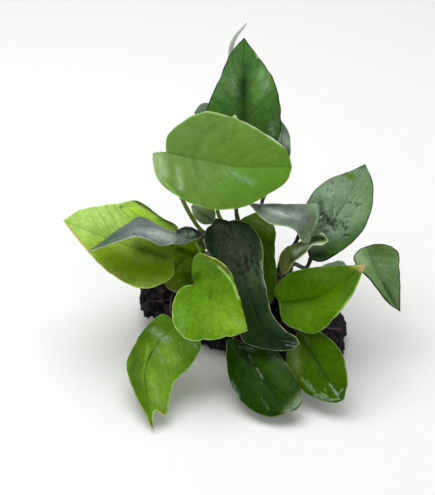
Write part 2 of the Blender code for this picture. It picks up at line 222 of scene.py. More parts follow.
STREAK_SCALE = 0.04
UNDER_COLOUR = (150, 168, 118)
UNDER_SHARE = 0.45
UNDER_ROUGHNESS = 0.5

# Short wrinkles, their painted shade and the painted glints beside them: least and most of each random
# value
WRINKLE_LENGTHS = (0.8, 3.0)
WRINKLE_SIZES = (0.25, 0.55)
WRINKLE_STRENGTHS = (0.6, 1.0)
WRINKLE_DEPTHS = (0.15, 0.5)
WRINKLE_SPREAD = 28
WRINKLE_BEND = 30
WRINKLE_WIDENING = 1.3
GLINT_OFFSET = (0.6, -0.35)
GLINT_SIZE = 0.3
GLINT_GAIN = 1.5
GLINT_STRENGTHS = (0.1, 0.7)

# For each leaf slot: specular level and subsurface weight
LEAF_FINISHES = {
    "dark_leaf": (0.05, 0.1),
    "green_leaf": (0.04, 0.15),
    "bright_leaf": (0.04, 0.2),
    "olive_leaf": (0.03, 0.15),
    "grey_leaf": (0.1, 0.08),
    "black_leaf": (0.03, 0.05),
}
VEIN_TINT = (0.6, 0.68, 0.56)
GLOW_COLOURS = (0.6, 1.0, 0.2)
GLOW_DEPTH = 0.8

# Studio: each light's name, place and side in metres, and power in watts
FLOOR_REACH = 3.0
FLOOR_DROP = 0.0001
LIGHTS = (
    ("overhead", (-0.1, 0.12, 0.85), 0.8, 6.3),
    ("front", (0.25, -0.9, 0.6), 0.7, 1.3),
    ("left", (-0.8, -0.1, 0.4), 0.6, 0.9),
)
SKY_STRENGTH = 0.4


@dataclass
class Leaf:
    """One leaf: its outline and form, its stalk, and what is painted or pressed into it.

    rib is a line of places across, up and near, and left and right are its rims, across and up.
    marks: soft patches as (line, size, colour, strength), toned together with the blade
    stains: the same, over the tone
    Among both are the leaf's own tones, painted shade, and painted highlights and sheen
    creases: furrows, or ridges with a height above zero, as (line, size, height)
    nicks: bites or bulges of the rim, as (place, height, size)
    crinkles: groups of short wrinkles with painted shade and glints, as (middle, reach, count, slant,
    colour)
    gleams: glossy patches with a painted highlight, as (line, size, strength)
    """

    name: str
    slot: str
    colour: tuple
    rib: list
    left: list
    right: list
    tone: tuple = (1, 1, 1)
    lean: tuple = (0, 0)
    fold: float = 0.12
    arch: float = 0.06
    waves: tuple = (0, 0)
    soft: float = 0.03
    groove: float = 0.15
    foot: tuple = (0.5, 0)
    bends: tuple = ()
    straight: bool = False
    tuck: float = 0
    stalk: tuple = (46, 58, 26)
    rib_colour: tuple = (70, 105, 40)
    rib_strength: float = 0.45
    rim: float = 0.6
    roughness: float = 0.36
    veins: int = 9
    quilt: float = 0.05
    ruffle: float = 0.35
    spacing: float = 0.5
    streaks: float = 0.5
    marks: tuple = ()
    stains_shade_and_sheen: tuple = ()
    creases: tuple = ()
    nicks: tuple = ()
    crinkles: tuple = ()
    gleams: tuple = ()


# Grey-green colours of the wavy, grey, curled, right, far right and back leaves are partly painted sheen
LEAVES = [
    Leaf(
        "top_leaf", "dark_leaf", (62, 104, 50), tone=(1.2, 1.14, 0.9),
        rib=[(2, 80, 24), (1, 105, 25), (1, 131.5, 18)],
        left=[(-8, 79), (-15, 88), (-16, 98), (-10.5, 112), (-4, 126)],
        right=[(10, 78), (16.5, 86), (17.5, 98), (14.5, 112), (5, 126)],
        foot=(0.5, -20), bends=((-2.5, 52, 18),), straight=True, rib_colour=(34, 66, 32),
        rib_strength=0.25, rim=-1.0, quilt=0.07, streaks=0.7,
        marks=(
            ([(0.7, 118), (0.7, 96)], 3.2, (30, 58, 26), 0.7),
            # Painted shade on the lower part, above the round leaf
            ([(-10, 84), (12, 84)], 8, (34, 68, 28), 0.6),
            # Painted highlight
            ([(9, 113), (8, 108)], 4.5, (98, 142, 82), 0.6),
            ([(-8, 108), (-3, 118)], 5, (84, 120, 80), 0.5),
            ([(1, 112), (0.2, 106)], 2.2, (16, 42, 18), 0.75),
            ([(0.7, 96), (0.5, 82)], 1.4, (24, 54, 24), 0.5),
        ),
        # A painted glint on the rim
        stains_shade_and_sheen=(([(6.6, 124), (7.2, 122.6)], 0.5, (236, 242, 230), 0.9),),
        gleams=(
            ([(-4, 112), (-2.5, 107)], 2.2, 0.16), ([(9.5, 115), (10.5, 109)], 2.4, 0.3),
            ([(13, 92), (14.5, 88)], 1.5, 0.3),
        ),
    ),
    Leaf(
        "round_leaf", "green_leaf", (106, 154, 62), tone=(0.88, 0.8, 0.78),
        rib=[(-34, 79.5, 38), (-22, 77.5, 41), (-3, 74, 42), (22.5, 73, 36)],
        left=[(-34, 86), (-27, 93.5), (-17, 98), (-4, 95.5), (10.5, 88), (20.5, 80)],
        right=[(-39, 79.5), (-38.5, 69), (-28, 59.5), (-14, 54.5), (0, 55), (12, 61), (21, 68)],
        lean=(-7, 7), fold=0.08, foot=(0.28, -5), bends=((-27, 59, 30), (-19.5, 46, 23)),
        stalk=(120, 142, 52), rib_colour=(82, 126, 50), rib_strength=0.35, rim=0.8, streaks=0.1,
        marks=(
            ([(4, 66), (17, 70)], 13, (92, 150, 38), 0.7),
            ([(-30, 90), (-12, 90)], 8, (100, 146, 70), 0.6),
            # The next two: painted glare and highlight on the lower lobe
            ([(-37, 76), (-36, 70)], 3.6, (172, 206, 142), 0.8),
            ([(-29, 73), (-27.5, 64)], 1.6, (150, 190, 118), 0.6),
            ([(-33, 76), (-31, 70)], 1.4, (104, 148, 70), 0.6),
            ([(-31, 78), (-20, 76), (-16, 66)], 5, (112, 156, 84), 0.5),
            ([(-21, 81), (-17, 87), (-12, 91)], 1.3, (84, 128, 52), 0.45),
            ([(-22, 77), (-19, 68)], 1.3, (80, 124, 54), 0.5),
            ([(-14, 88), (2, 82), (14, 77)], 4, (110, 160, 66), 0.4),
        ),
        stains_shade_and_sheen=(
            # Pale rims: partly the margin's own colour, partly painted rim light
            ([(-3, 96), (8, 90), (18, 83)], 0.8, (206, 228, 178), 0.95),
            (
                [(-34.6, 84), (-34.4, 87), (-27.4, 93.8), (-17, 98.2), (-5, 95.9)],
                0.5, (170, 202, 130), 0.8,
            ),
            ([(-38.8, 79.6), (-38.8, 70), (-28.4, 59.6)], 0.5, (156, 196, 112), 0.6),
        ),
        creases=(([(-22, 77), (-18, 66)], 1.5, -0.3), ([(-24, 80), (-12, 91)], 1.5, -0.2)),
        nicks=(((-3.3, 95.3), 1.5, 0.9), ((-39.2, 79.2), 0.9, 1.0)),
        gleams=(
            ([(-36.5, 76), (-35.5, 71)], 2.0, 0.4), ([(-28.5, 72), (-27.5, 63)], 1.3, 0.32),
            ([(-8, 72), (4, 66)], 2.0, 0.22),
        ),
    ),
    Leaf(
        "left_leaf", "bright_leaf", (158, 198, 86), tone=(1.12, 1.07, 1.15),
        rib=[(-31, 32, 28), (-44, 36, 31), (-62, 42, 31), (-80.5, 49, 27)],
        left=[(-31, 24.5), (-38, 19.8), (-45, 18.6), (-56, 23), (-68.5, 34), (-77.5, 45)],
        right=[
            (-30, 39), (-29, 46.4), (-36, 50.4), (-48.5, 58.3), (-56, 56.7), (-65, 55.7), (-73, 53.8),
        ],
        lean=(7, -8), foot=(0.02, 0), bends=((-37.5, 29.5, 23), (-37.5, 37, 15)),
        rib_colour=(84, 108, 20), rib_strength=0.3, rim=0.9, veins=22, quilt=0.08, streaks=0.4,
        marks=(
            ([(-36, 46), (-48, 53)], 4, (150, 200, 44), 0.8),
            ([(-72, 51), (-60, 55)], 2.2, (186, 216, 128), 0.5),
            ([(-72, 46), (-58, 50)], 6, (170, 212, 112), 0.6),
            # The next three: painted shade of the wavy leaf on the lower half and the midrib
            ([(-62, 35), (-50, 27), (-34, 27)], 8, (114, 144, 4), 0.95),
            ([(-46, 37), (-32, 36)], 5, (88, 116, 6), 0.8),
            ([(-45, 36.5), (-34, 32.5)], 1.8, (62, 84, 12), 0.7),
            # Painted highlight on the rolled margin
            ([(-46.5, 56), (-37.8, 50)], 0.7, (172, 206, 84), 0.7),
            # Painted shade beside the rolled margin
            ([(-35, 49.8), (-30, 46.5)], 2.4, (70, 108, 22), 0.85),
            ([(-48.5, 58.1), (-42.4, 54.6), (-36.2, 50.4), (-32, 48)], 0.8, (34, 60, 26), 0.95),
        ),
        stains_shade_and_sheen=(
            ([(-54.2, 55.6), (-49, 57.6)], 0.6, (140, 172, 60), 0.5),
            ([(-55, 54.8), (-54.2, 55.1)], 0.4, (56, 70, 20), 0.9),
            ([(-79, 47), (-70, 36)], 0.8, (190, 160, 92), 0.7),
            ([(-69, 52.5), (-64, 45)], 0.35, (138, 176, 70), 0.55),
            ([(-65.5, 54.5), (-60, 46)], 0.35, (126, 164, 58), 0.6),
            ([(-61.5, 55.5), (-56.5, 48)], 0.35, (122, 158, 50), 0.6),
            ([(-58, 56.3), (-53.5, 50)], 0.35, (110, 146, 36), 0.6),
            ([(-54.5, 54), (-51, 50.5)], 0.35, (96, 136, 26), 0.6),
            ([(-50.5, 54), (-46.5, 50.5)], 0.4, (96, 140, 24), 0.5),
            ([(-64, 30), (-54, 22.4)], 0.7, (176, 150, 70), 0.6),
        ),
        creases=(([(-54, 54), (-47, 55.5), (-37, 48.5)], 1.2, -0.5),),
    ),
    Leaf(
        # Its grey colour is partly painted sheen
        "wavy_leaf", "grey_leaf", (98, 110, 112), tone=(0.96, 1.0, 0.96),
        rib=[(-17, 43, 26), (-30, 43.5, 39), (-45, 46.5, 45), (-57, 41.5, 46), (-69.5, 35, 44)],
        left=[(-24.5, 39), (-34.5, 38.5), (-46.5, 41.5), (-57, 39.5), (-64.5, 36.5)],
        right=[(-24, 46.5), (-33, 44.5), (-39, 47), (-46, 50.6), (-52, 48), (-60, 41.5)],
        lean=(10, -8), fold=0.02, arch=0.02, waves=(2.5, 0.5), foot=(0.31, 45),
        bends=((-15.5, 37, 22.5),), rib_colour=(80, 94, 92), rib_strength=0.25, rim=0.9, roughness=0.3,
        spacing=0.4,
        marks=(
            ([(-68, 36), (-58, 41)], 4, (64, 92, 86), 0.7),
            # The next two: painted sheen
            ([(-48, 43), (-40, 44)], 3, (132, 142, 148), 0.6),
            ([(-37, 43), (-27, 41)], 2.5, (172, 182, 184), 0.7),
            # The crumpled end: dark lines are painted shade in its creases, pale ones painted glints
            ([(-29, 43.6), (-23, 42.4), (-20, 44)], 1.1, (30, 44, 42), 0.9),
            ([(-28, 45.2), (-25, 42), (-22, 44.5), (-19.5, 42)], 0.7, (26, 40, 36), 0.9),
            ([(-30, 43), (-27.5, 46.2), (-21, 46.2)], 0.35, (186, 200, 198), 0.7),
            ([(-28, 41), (-24.5, 44), (-21, 43.2)], 0.3, (176, 192, 190), 0.6),
            ([(-28, 45.6), (-22, 45.8), (-19, 43)], 0.8, (44, 62, 56), 0.8),
        ),
        stains_shade_and_sheen=(
            # Painted sheen
            ([(-41, 42.8), (-36, 41.8), (-31, 41.2)], 2.0, (178, 188, 184), 0.55),
            ([(-66, 36), (-58, 40.5)], 2.2, (74, 98, 84), 0.4),
            ([(-48.8, 42.6), (-48, 42.6)], 0.4, (40, 58, 58), 0.8),
            # The crumpled end: painted shade in its creases and painted glints
            ([(-29, 42.5), (-24, 43), (-19, 42.5)], 2.2, (84, 100, 88), 0.6),
            ([(-27.6, 41), (-23, 40.2)], 0.5, (156, 172, 162), 0.6),
            ([(-25.4, 42.9), (-22, 43.2)], 0.8, (150, 180, 158), 0.9),
            ([(-28.7, 44.2), (-26.3, 45.6), (-21.6, 44.7), (-18.3, 42.3)], 0.6, (14, 28, 16), 1.0),
            ([(-26.8, 41.9), (-23.5, 40.8), (-19.7, 41.9)], 0.5, (18, 34, 22), 0.95),
            ([(-25, 45), (-24, 43.4), (-24.4, 41.4)], 0.4, (20, 34, 24), 0.85),
            ([(-28.4, 44), (-27.6, 42.8)], 0.6, (20, 34, 24), 0.9),
        ),
        creases=(([(-29, 43.6), (-23, 42.4)], 0.9, -0.5), ([(-28, 45.4), (-21, 45.4)], 0.8, -0.4)),
        nicks=(
            ((-36, 39.4), 0.8, 2.2), ((-31.5, 38.7), -0.7, 1.5), ((-25.5, 39.5), 0.6, 2.0),
            ((-45, 41.2), 0.5, 3.0),
        ),
        crinkles=(((-24.5, 43.4), 4, 6, 5, (26, 44, 34)),),
        gleams=(
            ([(-36, 41.5), (-33, 40.8)], 1.6, 0.5), ([(-27, 42), (-22, 41.5)], 1.0, 0.5),
            ([(-47, 45), (-41, 43.5)], 1.4, 0.3),
        ),
    ),
    Leaf(
        "olive_leaf", "olive_leaf", (96, 122, 34), tone=(0.95, 1.1, 0.3),
        rib=[(-19, 32.5, 20), (-25, 33, 18), (-31, 27, 19), (-34, 19, 22)],
        left=[(-18, 26), (-22, 20), (-29, 16.5)],
        right=[(-16.5, 35.5), (-17, 40), (-21, 42.5), (-27, 41.5), (-32, 36.5), (-35, 29), (-35.5, 23)],
        lean=(5, -4), foot=(0.17, 45), rib_colour=(46, 62, 16), rib_strength=0.5, rim=0.5, streaks=0.8,
        marks=(
            ([(-29, 36), (-19, 33.5)], 1.5, (40, 56, 14), 0.8),
            ([(-24.5, 24), (-23.5, 20)], 1.8, (34, 52, 10), 0.8),
            ([(-22, 30), (-22, 22)], 4, (68, 94, 24), 0.7),
        ),
        stains_shade_and_sheen=(
            ([(-33, 20), (-30, 17.5)], 2.4, (124, 122, 66), 0.7),
            # Pale rim: partly the margin's own colour, partly painted rim light
            ([(-20.5, 38.7), (-18, 33.3)], 0.5, (160, 178, 88), 0.8),
        ),
    ),
    Leaf(
        "heart_leaf", "bright_leaf", (112, 166, 40), tone=(0.72, 0.72, 0.35),
        rib=[(-21, 20, 50), (-10, 10, 55), (2.5, -0.5, 57)],
        left=[(-22.5, 26), (-19.5, 34.5), (-13, 32.5), (-6, 27.5), (-1.5, 16), (1, 6)],
        right=[(-27, 19), (-31.5, 9), (-30, 1), (-24, -4.5), (-13.5, -4.5), (-3, -2.5)],
        lean=(-6, 7), fold=0.1, soft=0.2, groove=0.04, foot=(0.37, 75), rib_colour=(122, 172, 46),
        rib_strength=0.15, rim=1.0, veins=11, quilt=0.08, ruffle=0.5, streaks=0.5,
        marks=(
            ([(2, 0), (-7, 4)], 8, (160, 202, 70), 0.75),
            # The next two: painted shade on the upper lobe and in the sinus
            ([(-18, 31), (-12, 26)], 4.5, (82, 124, 44), 0.7),
            ([(-23, 22), (-20, 24)], 2.6, (58, 88, 14), 0.8),
            ([(-14, 20), (-14.4, 14)], 0.7, (74, 124, 24), 0.5),
            ([(-29, 10), (-26, 0)], 4, (128, 182, 62), 0.5),
        ),
        stains_shade_and_sheen=(
            ([(-17, 33), (-11, 30.4), (-6.5, 26.6)], 1.3, (104, 122, 38), 0.9),
            ([(-7, 27.4), (-5.4, 25.2)], 0.8, (92, 92, 40), 0.8),
            # Pale rims: partly the margin's own colour, partly painted rim light
            ([(-16, 34), (-11, 31.6), (-7, 28.6)], 0.4, (206, 212, 130), 0.9),
            ([(-10.8, 28.4), (-6.6, 24.2), (-4.2, 20.6), (-2, 14)], 0.5, (186, 214, 130), 0.7),
        ),
        creases=(([(-16, 32.2), (-10.5, 29.3), (-5.5, 24.8)], 0.7, -0.7),),
        nicks=(
            ((-3.2, 22.2), -0.8, 1.2), ((-25.5, -4.6), 0.4, 2.0), ((-17.5, -4.8), -0.9, 1.6),
            ((-7.8, -3.6), -0.9, 1.5), ((0, 10), -0.5, 1.0),
        ),
        gleams=(([(-28, 8), (-27, 0)], 1.8, 0.12), ([(-4, 4), (0, 2)], 2.0, 0.1)),
    ),
    Leaf(
        "centre_leaf", "black_leaf", (46, 66, 48), tone=(1.04, 1.0, 0.84),
        rib=[(-6, 49, 32), (-1.5, 30, 38), (5, 12, 44), (10, 0, 49), (26, -6.5, 53)],
        left=[(-1, 49.5), (5, 46), (9.5, 38), (9.5, 26.5), (11, 17), (13, 8), (20, -0.5), (25, -4)],
        right=[
            (-11.5, 49.8), (-16, 45), (-17, 38.5), (-13.5, 33), (-5.5, 24), (-1, 10), (1, -5), (13, -9),
            (23, -8.6),
        ],
        lean=(2, -2), fold=0.1, waves=(1.5, 0.8), foot=(0.42, 15), tuck=1.8, rib_colour=(32, 50, 34),
        rib_strength=0.15, rim=0.8, roughness=0.32, ruffle=0.55, spacing=0.45, streaks=1.0,
        marks=(
            # Painted sheen on the upper left
            ([(-8, 44), (-2, 36), (3, 30)], 5.5, (84, 88, 92), 0.75),
            ([(-14.5, 43), (-14, 36)], 2.6, (34, 48, 30), 0.8),
            ([(-10, 48.5), (0, 48.5)], 1.4, (36, 50, 30), 0.7),
            ([(-7, 33), (-3, 24)], 2.2, (64, 62, 58), 0.6),
            # Pale rim: partly the margin's own colour, partly painted rim light
            ([(9.3, 39), (9.2, 27)], 1.1, (104, 124, 96), 0.5),
            ([(7, 40), (7, 30)], 3, (34, 60, 34), 0.6), ([(5, 26), (6, 22)], 3.5, (62, 98, 58), 0.5),
            # Painted shade on the lower part
            ([(4, 8), (7, -4)], 8, (26, 50, 22), 0.85),
            # Painted glare at the tip
            ([(24, -5.5), (27, -6.5)], 1.0, (96, 108, 102), 0.6),
        ),
        # Painted shade towards the tip
        stains_shade_and_sheen=(([(12, -3.4), (16, -4.6), (22, -6)], 3.6, (28, 44, 22), 0.85),),
        nicks=(((-14.6, 47.2), -0.9, 0.9), ((-11.8, 49.9), 0.5, 1.2)),
        crinkles=(
            ((2.5, 30), 5, 14, -55, (18, 30, 20)), ((-9, 44), 5, 9, -70, (60, 60, 56)),
            ((0, 33), 6, 12, -60, (40, 42, 36)),
        ),
        gleams=(
            ([(19.4, -5), (24.4, -6.2)], 0.35, 0.5), ([(20, -6.8), (25.5, -7.6)], 0.3, 0.45),
            ([(9, 30), (10, 20)], 0.8, 0.5),
        ),
    ),
    Leaf(
        "middle_leaf", "green_leaf", (64, 96, 28), tone=(1.0, 1.1, 0.22),
        rib=[(3, 51.5, 25), (7, 40, 28), (10.5, 27, 31), (13, 11.5, 33)],
        left=[(7.5, 52.8), (12, 50), (15, 45.5), (14.8, 37), (15.3, 27), (15, 16)],
        right=[(-0.5, 49.5), (-2.5, 45), (-1, 36), (3.5, 26), (9, 17)],
        lean=(0, -1), foot=(0.55, -5), bends=((4, 38, 21),), tuck=1.8, rib_strength=0.2, rim=0.3,
        streaks=0.9,
        # Painted light on the sunlit upper part; the rest stays darker as in the centre leaf's shade
        marks=(([(5, 51), (13, 47)], 5, (120, 148, 66), 0.9),),
        gleams=(([(5, 50), (12, 46)], 2.2, 0.3),),
    ),
    Leaf(
        # Its grey colour is partly painted sheen
        "grey_leaf", "grey_leaf", (126, 138, 132), tone=(0.7, 0.82, 0.66),
        rib=[(31, 43, 40), (25, 49, 43), (15, 52, 42), (2.5, 57, 36)],
        left=[(30.4, 39.5), (27.2, 39.2), (24, 44), (16, 47.5), (9, 50.5)],
        right=[(33.5, 48), (34, 57), (28, 57), (19.5, 56), (10, 56.5)],
        lean=(9, -9), fold=0.04, arch=0.02, waves=(1.5, 0.8), foot=(0.74, -15),
        bends=((26.5, 43.5, 33.5), (24, 39, 27)), stalk=(30, 38, 22), rib_colour=(98, 112, 104),
        rib_strength=0.25, rim=0.7, roughness=0.3,
        marks=(
            # The next two: painted pale reflections
            ([(12, 53.5), (18, 52)], 2.2, (168, 174, 180), 0.7),
            ([(9, 54.4), (13, 53), (17, 52.6)], 0.6, (206, 212, 216), 0.8),
            ([(18, 54.5), (26, 52.5)], 1.2, (118, 122, 132), 0.6),
            ([(32, 56), (32, 48)], 2.4, (150, 168, 142), 0.7),
            ([(20, 49), (30, 50)], 2.5, (100, 112, 110), 0.6),
            ([(28, 41), (30, 46)], 3, (112, 132, 104), 0.6),
        ),
        stains_shade_and_sheen=(
            # Painted violet sheen
            ([(14, 53), (22, 52), (27, 50)], 2.0, (144, 146, 154), 0.5),
            ([(22, 54.4), (29, 53.8)], 0.9, (102, 106, 104), 0.6),
            ([(31, 52), (31, 47)], 1.2, (124, 122, 108), 0.5),
            ([(28, 41), (29, 45)], 2.4, (98, 120, 84), 0.6),
            # The next three: painted pale streaks of reflection
            ([(10, 54.8), (14, 53.6), (18, 52.2)], 0.5, (198, 206, 210), 0.7),
            ([(12, 53), (16, 51.6)], 0.3, (190, 198, 204), 0.6),
            ([(16.5, 53.4), (21, 51.2)], 0.35, (184, 192, 198), 0.5),
            # Pale rim: partly the margin's own colour, partly painted rim light
            ([(29, 58), (33.4, 57.4), (34, 52), (33.4, 48)], 0.6, (148, 182, 156), 0.7),
        ),
        gleams=(([(12, 54), (20, 51)], 1.4, 0.45), ([(22, 52), (28, 48)], 1.2, 0.25)),
    ),
    Leaf(
        # Its grey colour is partly painted sheen
        "curled_leaf", "grey_leaf", (112, 128, 84), tone=(0.95, 1.08, 0.6),
        rib=[(18.5, 25, 32), (21.5, 32, 34), (27.5, 37, 34), (33.5, 40, 33), (39, 40, 31)],
        left=[(16.5, 31), (18.5, 36), (26, 39.5), (32, 42), (36, 43.5)],
        right=[(20.5, 26), (23.5, 30.5), (29, 35), (32, 38), (36, 38)],
        lean=(-4, 4), fold=0.3, arch=0.02, foot=(0.72, 20), straight=True, stalk=(32, 42, 20),
        rib_colour=(160, 172, 140), rib_strength=0.2, rim=0.9,
        marks=(
            # Painted shade inside the curl
            ([(32, 41), (36.5, 41.5)], 2.2, (52, 92, 20), 0.9),
            ([(18, 30), (20, 34)], 3, (104, 116, 66), 0.7),
            # The pale rolled margin, partly painted light on the curl
            (
                [(29.2, 36.2), (32, 38.5), (36, 38), (38.7, 38.2), (39.4, 40), (37, 42.6), (34.2, 44.3)],
                0.9, (176, 196, 168), 0.9,
            ),
            ([(22, 33.5), (26, 36.5)], 1.6, (156, 166, 130), 0.7),
            ([(19.5, 28), (22, 30)], 1.4, (136, 124, 84), 0.6),
            ([(22.5, 31), (21.5, 34.5)], 0.8, (64, 78, 44), 0.7),
        ),
        stains_shade_and_sheen=(
            ([(19.2, 31), (20, 27.5)], 1.0, (150, 150, 84), 0.6),
            ([(20.3, 27.2), (19.4, 25)], 0.7, (110, 84, 48), 0.6),
            ([(22.6, 35.4), (24.6, 33.8)], 1.1, (146, 164, 130), 0.6),
            ([(21.4, 33.4), (20.8, 30.4)], 0.5, (52, 66, 32), 0.6),
            ([(24.5, 38), (29, 40)], 1.0, (88, 108, 48), 0.6),
            # Painted shade inside the curl
            ([(30.6, 41.6), (34, 41.2), (36.4, 41.2)], 1.6, (30, 60, 6), 1.0),
            # The next two: painted light on the rolled margin
            (
                [(23.4, 35.2), (26.1, 36.8), (29.7, 38), (33.3, 38.6), (36.9, 38.4)],
                0.9, (196, 214, 186), 0.95,
            ),
            (
                [(36.9, 38.4), (38.9, 39.6), (38.6, 41.2), (36.4, 43.2), (34.6, 44.2)],
                0.5, (170, 190, 158), 0.95,
            ),
        ),
    ),
    Leaf(
        # Its grey colour is partly painted sheen
        "right_leaf", "grey_leaf", (98, 124, 98), tone=(1.24, 1.24, 1.08),
        rib=[(30.5, 32, 20), (42, 50, 21), (50, 64, 16), (55.5, 74.5, 10)],
        left=[(28, 41), (27.5, 50), (30, 59), (38, 67), (49, 71.5)],
        right=[(34, 30.5), (43.5, 34.6), (50, 39.5), (55.2, 46), (58.7, 56), (59, 66)],
        lean=(-4, 5), foot=(0.81, -25), straight=True, stalk=(26, 34, 18), rib_colour=(78, 104, 78),
        rib_strength=0.12, rim=-0.8, roughness=0.3, quilt=0.02, spacing=0.28,
        marks=(
            ([(33, 52), (36, 46), (42, 40)], 5, (70, 98, 74), 0.5),
            # Painted shadow under the curled leaf's rolled margin
            ([(31, 33), (40, 34.5)], 3.6, (24, 44, 16), 0.95),
            ([(40, 35), (48, 39), (54, 46)], 2.8, (62, 98, 42), 0.85),
            ([(54, 46), (58, 57), (58, 66)], 1.8, (78, 116, 62), 0.7),
            # The next two: painted sheen
            ([(38, 62), (46, 66)], 4, (118, 144, 122), 0.5),
            ([(44, 58), (50, 52)], 6, (120, 148, 122), 0.5),
            # The next three: painted shade in the creases
            ([(35.6, 57), (36, 54)], 1.1, (34, 66, 26), 0.95),
            ([(36.4, 52), (38.5, 48), (41, 45)], 0.9, (32, 56, 34), 0.9),
            ([(36, 47), (37.5, 44)], 1.1, (30, 54, 30), 0.9),
        ),
        stains_shade_and_sheen=(
            # Painted sheen
            ([(34, 60), (41, 64)], 4, (138, 160, 138), 0.4),
            ([(38, 47), (43, 53), (47.5, 59)], 0.6, (82, 110, 82), 0.5),
            ([(37.5, 49), (40, 56), (41.5, 60)], 0.5, (88, 114, 88), 0.5),
            ([(39, 46), (46, 50), (50, 52)], 0.5, (76, 104, 72), 0.5),
            ([(47.2, 69.4), (49.6, 68.8)], 1.7, (78, 118, 30), 1.0),
            ([(53, 73.4), (55.6, 74.6)], 1.3, (34, 62, 18), 0.95),
            ([(40.5, 65.9), (41, 66.1)], 0.5, (62, 88, 62), 0.8),
            ([(38.5, 63.2), (38.5, 62.6)], 0.5, (62, 88, 62), 0.7),
            ([(41.2, 60.2), (41.6, 59.6)], 0.55, (58, 84, 58), 0.8),
            ([(45, 66.6), (45.6, 66.8)], 0.5, (66, 92, 62), 0.7),
            ([(48.2, 57.6), (49, 57.6)], 0.5, (54, 82, 52), 0.9),
            ([(51.2, 57), (52, 56.2)], 0.55, (46, 74, 44), 0.9),
            ([(58.4, 60), (59, 66), (57.4, 70)], 0.5, (112, 100, 76), 0.5),
        ),
        creases=(
            ([(35.6, 57), (36, 52)], 0.9, -0.6), ([(36.4, 52), (38.5, 48), (41, 45)], 0.8, -0.6),
            ([(37.6, 53.4), (40.5, 48.5), (44, 46)], 0.7, 0.4),
        ),
        crinkles=(
            ((39.5, 49), 5.5, 26, 48, (22, 46, 28)), ((37, 48), 4, 14, 40, (30, 60, 30)),
            ((43, 60), 9, 4, 60, (52, 82, 56)), ((45, 45), 6, 8, 20, (38, 64, 38)),
        ),
        gleams=(
            ([(38, 54), (44, 50)], 3.0, 0.35), ([(37, 47), (42, 44)], 2.5, 0.45),
            ([(40, 60), (46, 62)], 3.0, 0.22),
        ),
    ),
    Leaf(
        # Its grey colour is partly painted sheen, and its tone is raised to make up for the shade on it
        "far_right_leaf", "grey_leaf", (76, 104, 74), tone=(2.4, 2.05, 1.7),
        rib=[(56, 37.5, 29), (60, 27, 32), (65, 17, 33), (71.3, 8, 31)],
        left=[(60, 38.6), (66, 38), (70, 35.5), (71, 28), (71.3, 18)],
        right=[(53, 36.3), (50.2, 32.5), (51.5, 28.5), (57.5, 22.5), (62, 16.2), (66.8, 11)],
        lean=(4, 2), foot=(0.97, -60), bends=((54, 31, 22), (47, 26, 20)), tuck=2.2,
        rib_colour=(42, 64, 40), rib_strength=0.2, rim=-0.8,
        marks=(
            ([(60, 36.5), (68, 34)], 3, (52, 80, 46), 0.7),
            ([(63.9, 21.2), (69, 11.5)], 0.7, (34, 56, 36), 0.7),
            ([(55, 25), (60, 19), (65, 13)], 0.8, (34, 56, 34), 0.7),
            ([(61, 37), (63, 36)], 1.8, (46, 76, 34), 0.7),
            ([(53, 34), (55, 31)], 2.4, (92, 120, 88), 0.5),
            ([(66, 30), (69, 22)], 3, (62, 92, 58), 0.6),
        ),
        gleams=(([(52.5, 33), (55, 30)], 1.6, 0.4), ([(61, 30), (65, 27)], 2.4, 0.2)),
    ),
    Leaf(
        "small_leaf", "grey_leaf", (122, 136, 126),
        rib=[(31, 20, 37), (38, 25, 38), (48, 28, 35)],
        left=[(33, 26), (40, 30.5), (45, 31)],
        right=[(35, 18), (41, 19), (46, 24)],
        foot=(0.94, 45), veins=6,
    ),
    Leaf(
        "green_leaf", "bright_leaf", (78, 126, 14), tone=(0.75, 0.68, 0.06),
        rib=[(17, 12, 43), (33.5, 15, 49), (46, 22, 49), (55.5, 29, 44)],
        left=[(14.5, 17), (21.5, 25.5), (32, 28), (45, 29)],
        right=[(18, 4.5), (26, -0.5), (33, -1.5), (42, 5.5), (50, 16)],
        lean=(-7, 7), fold=0.1, foot=(0.8, 95), rib_colour=(56, 94, 8), rib_strength=0.12, rim=0.6,
        streaks=0.45,
        marks=(
            # Painted shade along the midrib
            ([(19, 11.5), (34, 14.5)], 1.7, (50, 88, 8), 0.7),
            ([(26, 3), (42, 11)], 6, (96, 150, 24), 0.7), ([(16, 20), (26, 24)], 5, (70, 116, 10), 0.6),
        ),
        stains_shade_and_sheen=(
            ([(50, 29.5), (55, 28.5)], 1.8, (176, 184, 96), 0.85),
            ([(53.5, 27), (55.5, 29.5)], 1.3, (198, 154, 118), 0.95),
            ([(45, 28.8), (51, 29.6)], 0.4, (150, 164, 70), 0.8),
            # Pale rim: partly the margin's own colour, partly painted rim light
            ([(42, 5.5), (50, 16), (55, 27)], 0.45, (150, 190, 84), 0.6),
        ),
    ),
    Leaf(
        "lower_right_leaf", "green_leaf", (76, 128, 34), tone=(0.62, 0.53, 0.01),
        rib=[(25, -2, 45), (33, -14, 51), (42, -27, 57), (46, -31.5, 58)],
        left=[(30, 0.5), (39, -3.5), (46, -13), (47.5, -24)],
        right=[(21, -7), (20, -15), (26, -26), (36, -32), (42, -33)],
        lean=(3, -2), fold=0.1, foot=(0.88, 95), bends=((26, 7, 41.5),), straight=True,
        rib_colour=(48, 90, 20), rib_strength=0.35, rim=0.6, ruffle=0.5, streaks=0.5,
        marks=(
            # Painted sheen on the left side
            ([(23, -8), (25, -20)], 3.2, (116, 150, 98), 0.65),
            ([(27, -3), (36, -19), (42, -27)], 1.1, (46, 88, 20), 0.5),
            ([(38, -8), (44, -18)], 5, (88, 142, 38), 0.5),
        ),
        stains_shade_and_sheen=(
            # Painted sheen on the left side
            ([(22.5, -9), (23.5, -17)], 2.2, (104, 138, 84), 0.45),
            # The next four: painted highlights near the tip
            ([(27, -22), (31, -27)], 0.6, (150, 184, 120), 0.4),
